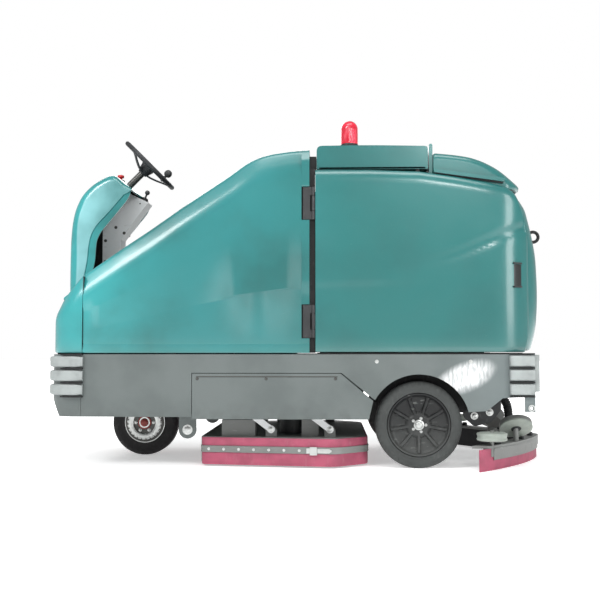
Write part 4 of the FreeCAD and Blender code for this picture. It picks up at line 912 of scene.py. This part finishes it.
def corner_pad_set():
    """Twelve rubbing pads: rounded grey blocks that follow the corners, with black grooves between."""
    def front_path():
        """Plan of the front corner, from the side round its arc."""
        line = [(-1034, 560), (-1061, 560)]
        line += [(-1061 - 150 * math.sin(t), 410 + 150 * math.cos(t))
                 for t in np.linspace(0.06, 1.03, 16)]
        return line

    def stack(path, low):
        """Three pads, one above the other, along a plan line."""
        made = []
        for index in range(3):
            z = low + index * 65
            face = eased([(1, z + 2), (1, z + 56), (24.5, z + 52), (24.5, z + 6)], [1, 1, 9, 9], 4)
            inner = eased([(1, z + 2), (1, z + 56), (16, z + 52), (16, z + 6)], [1, 1, 7, 7], 4)
            line = np.array(path, float)
            ways = np.gradient(line, axis=0)
            out = np.stack([-ways[:, 1], ways[:, 0]], 1)
            out /= np.linalg.norm(out, axis=1)[:, None]
            out *= np.sign(out[:, 1:2] + 1e-9)
            rings = []
            for step, ((x, y), (nx, ny)) in enumerate(zip(line, out)):
                end = min(step, len(line) - 1 - step)
                section = inner if end == 0 else face
                squeeze = {0: 0.86, 1: 0.97}.get(end, 1.0)
                middle = z + 29
                rings.append([(x + nx * d, y + ny * d, middle + (h - middle) * squeeze) for d, h in section])
            made.append(loft(rings))
        return made
    front = front_path()
    rear = [(936, 560.5), (939, 560.5), (943, 560.5)] + [(x, 560.5) for x in np.linspace(960, 1030, 5)]
    rear += [(1042, 560.5), (1046, 560.5), (1049, 560.5)]
    shape = together(*(stack(front, 332) + stack(rear, 336)))
    mesh_piece("corner_pad_set", *together(shape, flipped(shape)), "pad_grey", "chassis",
               ["corner_pads"], crease=45)
    bend = [(-1061 - 150 * math.sin(t), 410 + 150 * math.cos(t)) for t in np.linspace(0.62, 1.02, 9)]
    wrap = ribbon(bend[::-1], eased([(1, 335), (1, 518), (22.5, 512), (22.5, 341)], [1, 1, 8, 8], 4))
    mesh_piece("pad_wraps", *together(wrap, flipped(wrap)), "pad_grey", "chassis", crease=45)
    frames = []
    for z in (332, 336):
        path = front[:10] if z == 332 else rear
        for index in range(4):
            zz = z + index * 65 - 3.5
            line = np.array(path, float)
            if line[0][0] > line[-1][0]:
                line = line[::-1]
            frames.append(ribbon(line, [(0.5, zz - 3.2), (-17, zz - 3.2), (-17, zz + 3.2), (0.5, zz + 3.2)]))
    shape = together(*frames)
    mesh_piece("pad_grooves", *together(shape, flipped(shape)), "black_rubber", "chassis")


corner_pad_set()


def rear_bumper_bar():
    """Tail beam: a grey bar with rounded ends, and a black rubber face behind it."""
    def wrapped(rear, wide):
        """Plan of the beam from one end round to the other."""
        half = eased([(1054, wide), (rear, wide), (rear, 0)], [2, 12, 0], 6, closed=False)
        return np.concatenate([half, (half * (1, -1))[::-1][1:]])
    bar = [(-1, 354), (0, 356), (0, 520), (-2, 523), (-12, 523), (-12, 354)]
    mesh_piece("bumper_bar", *ribbon(wrapped(1066, 540), bar), "pad_grey", "chassis", ["rear_bumper"])
    face = eased([(0, 360), (6.5, 364), (7, 410), (4, 416), (7, 422), (7, 506), (6, 512), (0, 516)], 2, 3)
    mesh_piece("bumper_face", *ribbon(wrapped(1066.2, 534), face), "black_rubber", "chassis")


rear_bumper_bar()


def frame_bolts():
    """Bolt heads on the side plates, the wheel arches and the tie-down plates."""
    heads = []
    for x, z in ((330, 492), (760, 492)):
        heads.append(bolt_head((x, 559.5, z), "y", 6, 4))
    heads.append(bolt_head((-561, 450, 168), "y", 16, 9))
    shape = together(*heads)
    mesh_piece("frame_bolts", *together(shape, flipped(shape)), "bright_steel", "chassis")
    ring = spun([(10, 559), (16, 559), (16, 562.5), (10, 562.5)], (1035, 0, 279), "y", 32)
    mesh_piece("tie_down_rings", *together(ring, flipped(ring)), "bright_steel", "chassis")
    for word, way in (("left", -1), ("right", 1)):
        slim = [block((-505, 150), (559.6, 561), (419, 424))]
        slim += [bolt_head((x, 559.5, 412), "y", 5, 4) for x in (-500, -180, 140)]
        shape = together(*slim)
        mesh_piece("panel_trim_" + word, *(shape if way > 0 else flipped(shape)), "dark_steel",
                   "service_panel_" + word)


frame_bolts()


# ---------------------------------------------------------------- brush deck

DECK_LINE = [(-495, -470), (140, -560), (295, -424), (295, 424), (140, 560), (-495, 470)]


def deck_loop(inset):
    """The deck's outline in plan, its corners eased, moved in by inset."""
    line = eased(DECK_LINE, [30, 46, 34, 34, 46, 30], 8)
    long = []
    for one, two in zip(line, np.roll(line, -1, 0)):
        steps = max(1, int(np.linalg.norm(two - one) / 30))
        long += [one + (two - one) * f / steps for f in range(steps)]
    line = np.array(long)
    ways = np.roll(line, -1, 0) - np.roll(line, 1, 0)
    out = np.stack([ways[:, 1], -ways[:, 0]], 1)
    out /= np.linalg.norm(out, axis=1)[:, None]
    return line - out * inset, out


def skirt():
    """The splash skirt: a rubber wall round the deck that flares and waves a little at its hem."""
    line, out = deck_loop(0)
    length = np.cumsum(np.linalg.norm(line - np.roll(line, 1, 0), axis=1))
    section = [(-13, 135), (-1.5, 135), (-0.6, 130), (-0.3, 104), (-2.6, 98), (-2.6, 66), (-0.8, 60), (0, 40),
               (0, 14), (-1.5, 9), (-5, 8.5), (-12, 9), (-13, 30)]
    rings = []
    for (x, y), (nx, ny), s in zip(line, out, length):
        wave = 0.8 * math.sin(s / 47) + 0.6 * math.sin(s / 19)
        loop = []
        for d, z in section:
            shift = d - max(0.0, (60 - z) / 60) * (0.9 + wave) * (1 if d > -10 else 0.4) - 0.6
            loop.append((x + nx * shift, y + ny * shift, z))
        rings.append(loop)
    mesh_piece("skirt_rubber", *loft(rings, True), "red_rubber", "deck", ["deck_skirts"], crease=60)
    rings = []
    for (x, y), (nx, ny) in zip(line, out):
        loop = [(-1.5, 66), (2.4, 67), (3.2, 70), (1.9, 74), (1.9, 89), (3.2, 93), (2.4, 96.5), (-1.5, 97.5)]
        rings.append([(x + nx * d, y + ny * d, z) for d, z in loop])
    mesh_piece("strap_bands", *loft(rings, True), "deck_grey", "deck", ["skirt_straps"], crease=50)


skirt()


def strap_fittings():
    """The over-centre buckle on each side, the rivets along the strap and its turned ends."""
    way = np.array([635.0, 90.0]) / math.hypot(635, 90)

    def on_side(s, wide, z, out, deep=3.0):
        """A plate on the strap, s along it from its front end."""
        start = np.array([-495.0, 470.0]) + way * s
        end = start + way * wide
        normal = np.array([-way[1], way[0]])
        plan = [start + normal * out, end + normal * out,
                end + normal * (out - deep), start + normal * (out - deep)]
        return prism("XY", plan, *z)
    bright = [on_side(522, 34, (62, 99), 8.5, 6), on_side(556, 58, (72, 91), 5.5, 4),
              on_side(505, 20, (70, 93), 5.5, 4)]
    shape = together(*bright)
    mesh_piece("strap_buckles", *together(shape, flipped(shape)), "bright_steel", "deck", bevel=1.2)
    rivets = []
    for s in np.arange(40, 620, 72):
        x, y = np.array([-495.0, 470.0]) + way * s
        rivets.append(sloped(bolt_head((x, y + 1.6, 81.5), "y", 4.5, 3.4), (x, y, 81.5), "z", 8.1))
    shape = together(*rivets)
    mesh_piece("strap_rivets", *together(shape, flipped(shape)), "bright_steel", "deck")
    ends = together(block((292, 298), (-20, 20), (62, 99)), block((-499, -494), (-20, 20), (62, 99)))
    mesh_piece("strap_joints", *ends, "dark_plastic", "deck", bevel=1)


strap_fittings()


def brush_disc(side, sign):
    """A disc brush: moulded back plate, hub, and rows of tapered bristle tufts."""
    centre = (-60, 240 * sign, 0)
    back = spun([(0, 84), (226, 84), (232, 88), (232, 95), (222, 99), (60, 99), (44, 104), (40, 121),
                 (12, 121), (12, 137), (0, 137)], centre, "z", 72)
    random = np.random.default_rng(7 + sign)
    points, faces = [], []
    for ring, count in ((132, 42), (152, 48), (172, 54), (192, 60), (210, 66), (226, 70)):
        for index in range(count):
            turn = (index + random.uniform(-0.15, 0.15)) * TAU / count
            top = np.array([ring * math.cos(turn), ring * math.sin(turn), 85.0])
            splay = 1 + (0.035 if ring > 200 else 0.015) * random.uniform(0.4, 1.0)
            tip = np.array([top[0] * splay, top[1] * splay, random.uniform(1.5, 4)])
            tip[:2] *= min(1.0, 232 / np.linalg.norm(tip[:2]))
            start = len(points)
            for level, reach in ((top, 4.0), (tip, 5.6)):
                for corner in range(5):
                    a = corner * TAU / 5
                    point = level + (reach * math.cos(a), reach * math.sin(a), 0)
                    over = np.linalg.norm(point[:2]) / 234
                    if over > 1:
                        point[:2] /= over
                    points.append(point)
            faces += [(start + j, start + (j + 1) % 5, start + 5 + (j + 1) % 5, start + 5 + j)
                      for j in range(5)]
            faces.append(tuple(start + j for j in range(5)))
            faces.append(tuple(start + 5 + j for j in range(5))[::-1])
    tufts = (np.array(points) + centre, faces)
    mesh_piece("bristles_" + side, *tufts, "brush_fibre", "brush_" + side, ["brush_" + side])
    mesh_piece("brush_back_" + side, *back, "dark_plastic", "brush_" + side)


brush_disc("left", -1)
brush_disc("right", 1)


def link_bolts():
    """Bright pivot bolts at both ends of the four lift links."""
    for body, start in (("links_front", -333), ("links_rear", -56)):
        heads = [bolt_head((start, 474, 299), "y", 11, 9), bolt_head((start + 170, 474, 173), "y", 11, 9)]
        shape = together(*heads)
        mesh_piece("bolts_" + body, *together(shape, flipped(shape)), "bright_steel", body)


link_bolts()


# ---------------------------------------------------------------- squeegee

def swept_line(half, ahead):
    """Plan points of the squeegee's bowed line, moved ahead of it along x."""
    spots = np.linspace(-half, half, 61)
    return np.array([(1178 - 0.265 * abs(y) - 0.000539 * y * y - ahead, y) for y in spots])


def eased_nose(line):
    """The line with its sharp middle rounded."""
    soft = line.copy()
    for _ in range(2):
        soft[1:-1] = (soft[:-2] + 2 * soft[1:-1] + soft[2:]) / 4
    return soft


def squeegee():
    """Blades, clamp strips with wing nuts, rollers with grooves, and levelling discs."""
    rear = eased_nose(swept_line(650, 0))
    blade = [(-6, 0.8), (-0.6, 0.8), (-0.6, 50), (0, 60), (0, 99), (-6, 99)]
    front = eased_nose(swept_line(540, 62))
    section = [(d + 6, z) for d, z in blade]
    mesh_piece("rear_blade", *ribbon(rear, section), "red_rubber", "squeegee", ["squeegee_blades"], crease=45)
    mesh_piece("front_blade", *ribbon(front, section), "black_rubber", "squeegee", crease=45)
    clamp = eased_nose(swept_line(572, 0))
    strip = [(8, 46), (10.5, 48), (10.5, 84), (12, 88), (12, 99), (8, 99)]
    mesh_piece("blade_clamp", *ribbon(clamp, strip), "deck_grey", "squeegee", crease=40)
    knobs = []
    for y in (-500, -270, -90, 90, 270, 500):
        x = 1178 - 0.265 * abs(y) - 0.000539 * y * y
        knobs.append(spun([(0, 112), (13, 112), (15, 116), (13, 128), (6, 131), (0, 131)],
                          (x - 22, y, 0), "z", 24,
                          lambda a, r, h: (r * (1 + 0.12 * np.cos(a * 5)), h)))
    mesh_piece("clamp_knobs", *together(*knobs), "dark_plastic", "squeegee")
    for word, way in (("left", -1), ("right", 1)):
        roll = spun([(8.4, 133), (58, 133), (67, 136), (69.5, 141), (66, 148), (66, 156), (69.5, 163),
                     (67, 168), (58, 171), (8.4, 171)], (850, 575 * way, 0), "z", 64)
        mesh_piece("roller_" + word, *roll, "roller_grey", "guide_roller_" + word, ["guide_roller_" + word])
        spot = (1005, 350 * way, 176)
        disc = spun([(22, 7), (36, 6.2), (62, 6.2), (70, 10.4), (77.5, 7.5), (78.4, -7.5), (72, -10.4),
                     (22, -10.4)], spot, "z", 64)
        mesh_piece("level_disc_" + word, *sloped(disc, spot, "x", 38 * way), "roller_grey", "squeegee")
        boss = spun([(0, 13), (14, 13), (24, 10.6), (24, -11), (0, -11)], spot, "z", 40)
        mesh_piece("disc_boss_" + word, *sloped(boss, spot, "x", 38 * way), "dark_plastic", "squeegee")


squeegee()


def suction():
    """The ribbed hose from the tank's stub down to the squeegee's spout."""
    route = curve([(840, 0, 402), (840, 0, 380), (846, 0, 350), (872, 0, 325), (910, 0, 316), (960, 0, 314),
                   (1004, 0, 300), (1030, 0, 268), (1039, 0, 225), (1040, 0, 190), (1040, 0, 153)], 22)
    steps = np.cumsum(np.linalg.norm(np.diff(route, axis=0, prepend=route[:1]), axis=1))
    even = np.linspace(0, steps[-1], 300)
    path = np.stack([np.interp(even, steps, route[:, k]) for k in range(3)], 1)
    radius = 22.2 + 2.3 * np.cos(even * TAU / 9.5)
    radius[:14] = 24.4
    radius[-14:] = 24.4
    piece = mesh_piece("ribbed_hose", *tube(path, radius, 24), "black_rubber", None,
                       ["suction_hose"], crease=60)
    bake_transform(piece)


suction()


# ---------------------------------------------------------------- controls and seat

TILT = math.radians(45)


def on_wheel(shape):
    """From the steering wheel's own axes, with z along its shaft, to its place on the machine."""
    points = np.array(shape[0], float)
    x = points[:, 0] * math.cos(TILT) + points[:, 2] * math.sin(TILT) - 846
    z = -points[:, 0] * math.sin(TILT) + points[:, 2] * math.cos(TILT) + 1529
    return np.stack([x, points[:, 1], z], 1), shape[1]


def steering():
    """Wheel with finger waves under its rim, three dished spokes, hub cap and the spinner."""
    def waved(angles, r, h):
        """Presses finger waves into the underside of the rim."""
        lower = np.clip(-h / 12, 0, 1)
        return r - 1.4 * lower * (0.5 + 0.5 * np.cos(angles * 40)) * np.sign(r - 163), h
    section = [(163 + 12.4 * math.cos(t), 12.4 * math.sin(t)) for t in np.arange(16) * TAU / 16]
    rim = spun(section, (0, 0, 0), "z", 160, waved)
    spokes = []
    for index in range(3):
        line = [(26, -50), (52, -44), (90, -30), (126, -14), (152, -5)]
        path = curve(line, 5)
        rings = []
        for x, z in path:
            wide = np.interp(x, [26, 52, 110, 152], [20, 17, 13, 15])
            loop = [(wide * math.cos(t), 5.5 * math.sin(t)) for t in np.arange(12) * TAU / 12]
            rings.append([(x, y, z + h) for y, h in loop])
        spokes.append(sloped(loft(rings), (0, 0, 0), "z", index * 120))
    hub = spun([(0, -61.5), (24, -61.5), (34, -36), (39.5, -16), (38, -9), (30, -5), (16, -3), (0, -3)],
               (0, 0, 0), "z", 48)
    mesh_piece("wheel_grip", *on_wheel(together(rim, *spokes, hub)), "soft_grip", "steering",
               ["steering_wheel"], crease=45)
    plate = spun([(0, -2.2), (20, -2.4), (24, -4.6), (0, -4.6)], (0, 0, 0), "z", 48)
    mesh_piece("hub_plate", *on_wheel(plate), "dark_steel", "steering")
    knob = spun([(0, 59), (8, 58), (15, 53), (20, 44), (21, 36), (18, 26), (11, 20), (7, 18), (7, -16),
                 (0, -16)], (101, 0, 0), "z", 32)
    mesh_piece("spinner_grip", *on_wheel(knob), "dark_plastic", "spinner", ["spinner_knob"])


steering()


def column_details():
    """Screws in the column's sides, the lever's boot and the stop button."""
    screws = []
    for x, z in ((-1012, 1190), (-968, 1160), (-1066, 1120), (-1014, 1010), (-1066, 1010), (-1040, 640)):
        screws.append(bolt_head((x, 54.6, z), "y", 5.5, 3))
    shape = together(*screws)
    mesh_piece("column_screws", *together(shape, flipped(shape)), "dark_steel", "chassis")
    boot = spun([(12, 0), (24, 0), (22, 4), (19, 6), (20, 8), (17, 11), (18, 13), (12, 16)],
                (-875, 0, 1341), "z", 32)
    mesh_piece("lever_boot", *sloped(boot, (-875, 0, 1341), "y", 22), "black_rubber", "chassis")
    head = spun([(0, 1492), (10, 1491.4), (16, 1489), (18, 1485), (18, 1478), (14, 1475), (8, 1474),
                 (8, 1434), (0, 1434)], (-1016, 60, 0), "z", 40)
    mesh_piece("stop_button", *head, "red_plastic", "emergency_stop", ["emergency_stop"])


column_details()


def floor_mat():
    """Long ribs moulded along the operator's mat."""
    ribs = []
    for y in np.arange(-448, 449, 14):
        start = -1150 if abs(y) < 380 else -1040
        if abs(y) < 72:
            start = -968
        ribs.append(block((start, -728), (y - 3, y + 3), (539.6, 542.2)))
    mesh_piece("mat_ribs", *together(*ribs), "black_rubber", "chassis")


floor_mat()


def cushion(name, covers, outline, width):
    """A seat pad: a soft-edged block blown up by cloth simulation, then seamed."""
    shape = prism("XZ", outline, -width, width)
    piece = mesh_piece(name, *shape, "seat_vinyl", None, crease=60)
    bpy.context.view_layer.objects.active = piece
    piece.select_set(True)
    still = np.array([v.co for v in piece.data.vertices])
    low, high = still.min(0), still.max(0)
    mesher = piece.modifiers.new("even", "REMESH")
    mesher.mode = "VOXEL"
    mesher.voxel_size = 0.007
    bpy.ops.object.modifier_apply(modifier="even")
    soft = piece.modifiers.new("soft", "CLOTH")
    soft.settings.use_pressure = True
    soft.settings.uniform_pressure_force = 4
    soft.settings.effector_weights.gravity = 0
    before = np.array([v.co for v in piece.data.vertices])
    scene = bpy.context.scene
    for count in range(1, 17):
        scene.frame_set(count)
    blown = piece.evaluated_get(bpy.context.evaluated_depsgraph_get())
    after = np.array([v.co for v in blown.data.vertices])
    piece.modifiers.remove(soft)
    scene.frame_set(1)
    step = after - before
    far = np.linalg.norm(step, axis=1)[:, None]
    step *= np.minimum(1, 0.022 / np.maximum(far, 1e-6))
    made = before + step
    made = np.clip(made, low - (0.016, 0.012, 0.012), high + (0.016, 0.012, 0.012))
    piece.data.vertices.foreach_set("co", made.ravel())
    piece.data.update()
    points = np.array([v.co for v in piece.data.vertices])
    across = np.abs(np.abs(points[:, 1]) - 0.13)
    groove = np.exp(-(across / 0.006) ** 2) * 0.006
    normals = np.array([v.normal for v in piece.data.vertices])
    points -= normals * groove[:, None]
    piece.data.vertices.foreach_set("co", points.ravel())
    piece.data.polygons.foreach_set("use_smooth", [True] * len(piece.data.polygons))
    piece.data.update()
    piece.select_set(False)
    fine = piece.modifiers.new("fine", "SUBSURF")
    fine.levels = 1
    fine.render_levels = 1
    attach(piece, "seat")
    for node in covers:
        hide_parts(node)


cushion("seat_pad", ["seat_cushions"],
        eased([(-662, 936), (-662, 990), (-640, 998), (-330, 992), (-324, 938)], 14), 214)
cushion("back_pad", [], eased([(-373, 1030), (-302, 1026), (-258, 1230), (-256, 1420), (-316, 1424),
                               (-330, 1230)], 14), 214)


# ---------------------------------------------------------------- beacon, tail ring, lights and camera

def beacon():
    """Beacon: ribbed lens with a domed top on a ringed base."""
    def fluted(angles, r, h):
        """Presses flutes into the straight wall of the lens."""
        body = (h < 1718) & (r > 42)
        return r - np.where(body, 0.9 * (0.5 + 0.5 * np.cos(angles * 36)), 0), h
    outer = [(44.6, z) for z in range(1645, 1716, 8)]
    outer += [(44.6 * math.cos(t), 1716 + 44.6 * math.sin(t)) for t in np.linspace(0.1, 1.45, 12)]
    profile = [(0, 1635), (44.6, 1635)] + outer + [(0, 1760.7)]
    mesh_piece("beacon_glass", *spun(profile, (220, 0, 0), "z", 144, fluted), "red_lens", "hood",
               ["beacon_lens"], crease=60)
    rings = spun([(0, 1513), (33, 1513), (33.5, 1518), (30, 1521), (16, 1523), (14, 1530), (14, 1590),
                  (18, 1606),
                  (42, 1611), (46.5, 1614), (46.5, 1620), (44, 1621), (44, 1624), (46.5, 1625), (46.5, 1632),
                  (44, 1634), (0, 1634)], (220, 0, 0), "z", 64)
    mesh_piece("beacon_stand", *rings, "dark_plastic", "hood", ["beacon_base"])


beacon()


def tail_ring():
    """The grab ring on the tail with its foot."""
    turn = np.arange(48) * TAU / 48
    circle = np.stack([1180 + 26.5 * np.cos(turn), np.zeros(48), 1136 + 26.5 * np.sin(turn)], 1)
    ring = tube(circle, 8.3, 16, True)
    leg = block((1096, 1156), (-6, 6), (1129, 1143))
    mesh_piece("grab_ring", *together(ring, leg), "black_rubber", "chassis", bevel=0)


tail_ring()


def lamp(name, spot, aim, power, wide, high, tint=(1, 1, 1)):
    """A soft panel light at a spot, aimed at a point."""
    data = bpy.data.lights.new(name, "AREA")
    data.shape = "RECTANGLE"
    data.size = wide
    data.size_y = high
    data.energy = power
    data.color = tint
    held = bpy.data.objects.new(name, data)
    bpy.context.collection.objects.link(held)
    held.location = spot
    held.rotation_mode = "QUATERNION"
    held.rotation_quaternion = (Vector(aim) - Vector(spot)).to_track_quat("-Z", "Y")
    return held


def studio():
    """Pale floor, bright surround, soft lights and the camera."""
    floor = bpy.data.meshes.new("studio_floor")
    floor.from_pydata([(-40, -40, 0), (40, -40, 0), (40, 40, 0), (-40, 40, 0)], [], [(0, 1, 2, 3)])
    ground = bpy.data.objects.new("studio_floor", floor)
    bpy.context.collection.objects.link(ground)
    p = Paint("pale_floor")
    cloud = p.noise(3, 3)
    pale = p.mix(ink(250, 250, 250), ink(246, 247, 247), cloud)
    away = (p.x * p.x + p.y * p.y).step(2.5, 14.0)
    glow = p.mix((0.42, 0.42, 0.42, 1), (1, 1, 1, 1), away)
    floor.materials.append(p.finish(pale, cloud * 0.1 + 0.85, Emission_Color=glow, Emission_Strength=1.0))
    world = bpy.data.worlds.new("surround")
    bpy.context.scene.world = world
    world.use_nodes = True
    tree = world.node_tree
    glow = tree.nodes["Background"]
    glow.inputs[0].default_value = (1, 1, 1, 1)
    glow.inputs[1].default_value = 0.45
    backdrop = tree.nodes.new("ShaderNodeBackground")
    backdrop.inputs[0].default_value = (1, 1, 1, 1)
    backdrop.inputs[1].default_value = 1.0
    seen_by = tree.nodes.new("ShaderNodeLightPath")
    choose = tree.nodes.new("ShaderNodeMixShader")
    tree.links.new(seen_by.outputs["Is Camera Ray"], choose.inputs[0])
    tree.links.new(glow.outputs[0], choose.inputs[1])
    tree.links.new(backdrop.outputs[0], choose.inputs[2])
    tree.links.new(choose.outputs[0], tree.nodes["World Output"].inputs[0])
    bpy.context.scene.view_settings.view_transform = "Standard"
    lamp("key", (-4.2, -4.4, 4.6), (-0.4, 0, 0.8), 215, 2.2, 1.6)
    lamp("dash_fill", (1.2, -3.6, 2.6), (-0.95, -0.1, 1.2), 26, 0.6, 0.6)
    lamp("rear_strip", (4.2, -3.9, 2.0), (0.9, -0.4, 0.9), 95, 1.6, 2.6)
    lamp("top", (0.2, -1.6, 5.0), (0, 0, 1), 110, 3.6, 1.8)
    lamp("far_side", (-1.5, 5.5, 4.0), (0, 0, 0.8), 150, 3.5, 2.5)
    eye = bpy.data.cameras.new("camera")
    eye.lens = 52.8
    eye.sensor_width = 36
    seen = bpy.data.objects.new("camera", eye)
    bpy.context.collection.objects.link(seen)
    seen.location = (0.115, -4.63, 0.545)
    yaw, pitch = math.radians(-1.95), math.atan(50 / 880)
    ahead = Vector((math.sin(yaw) * math.cos(pitch), math.cos(yaw) * math.cos(pitch), math.sin(pitch)))
    seen.rotation_mode = "QUATERNION"
    seen.rotation_quaternion = ahead.to_track_quat("-Z", "Y")
    bpy.context.scene.camera = seen


studio()
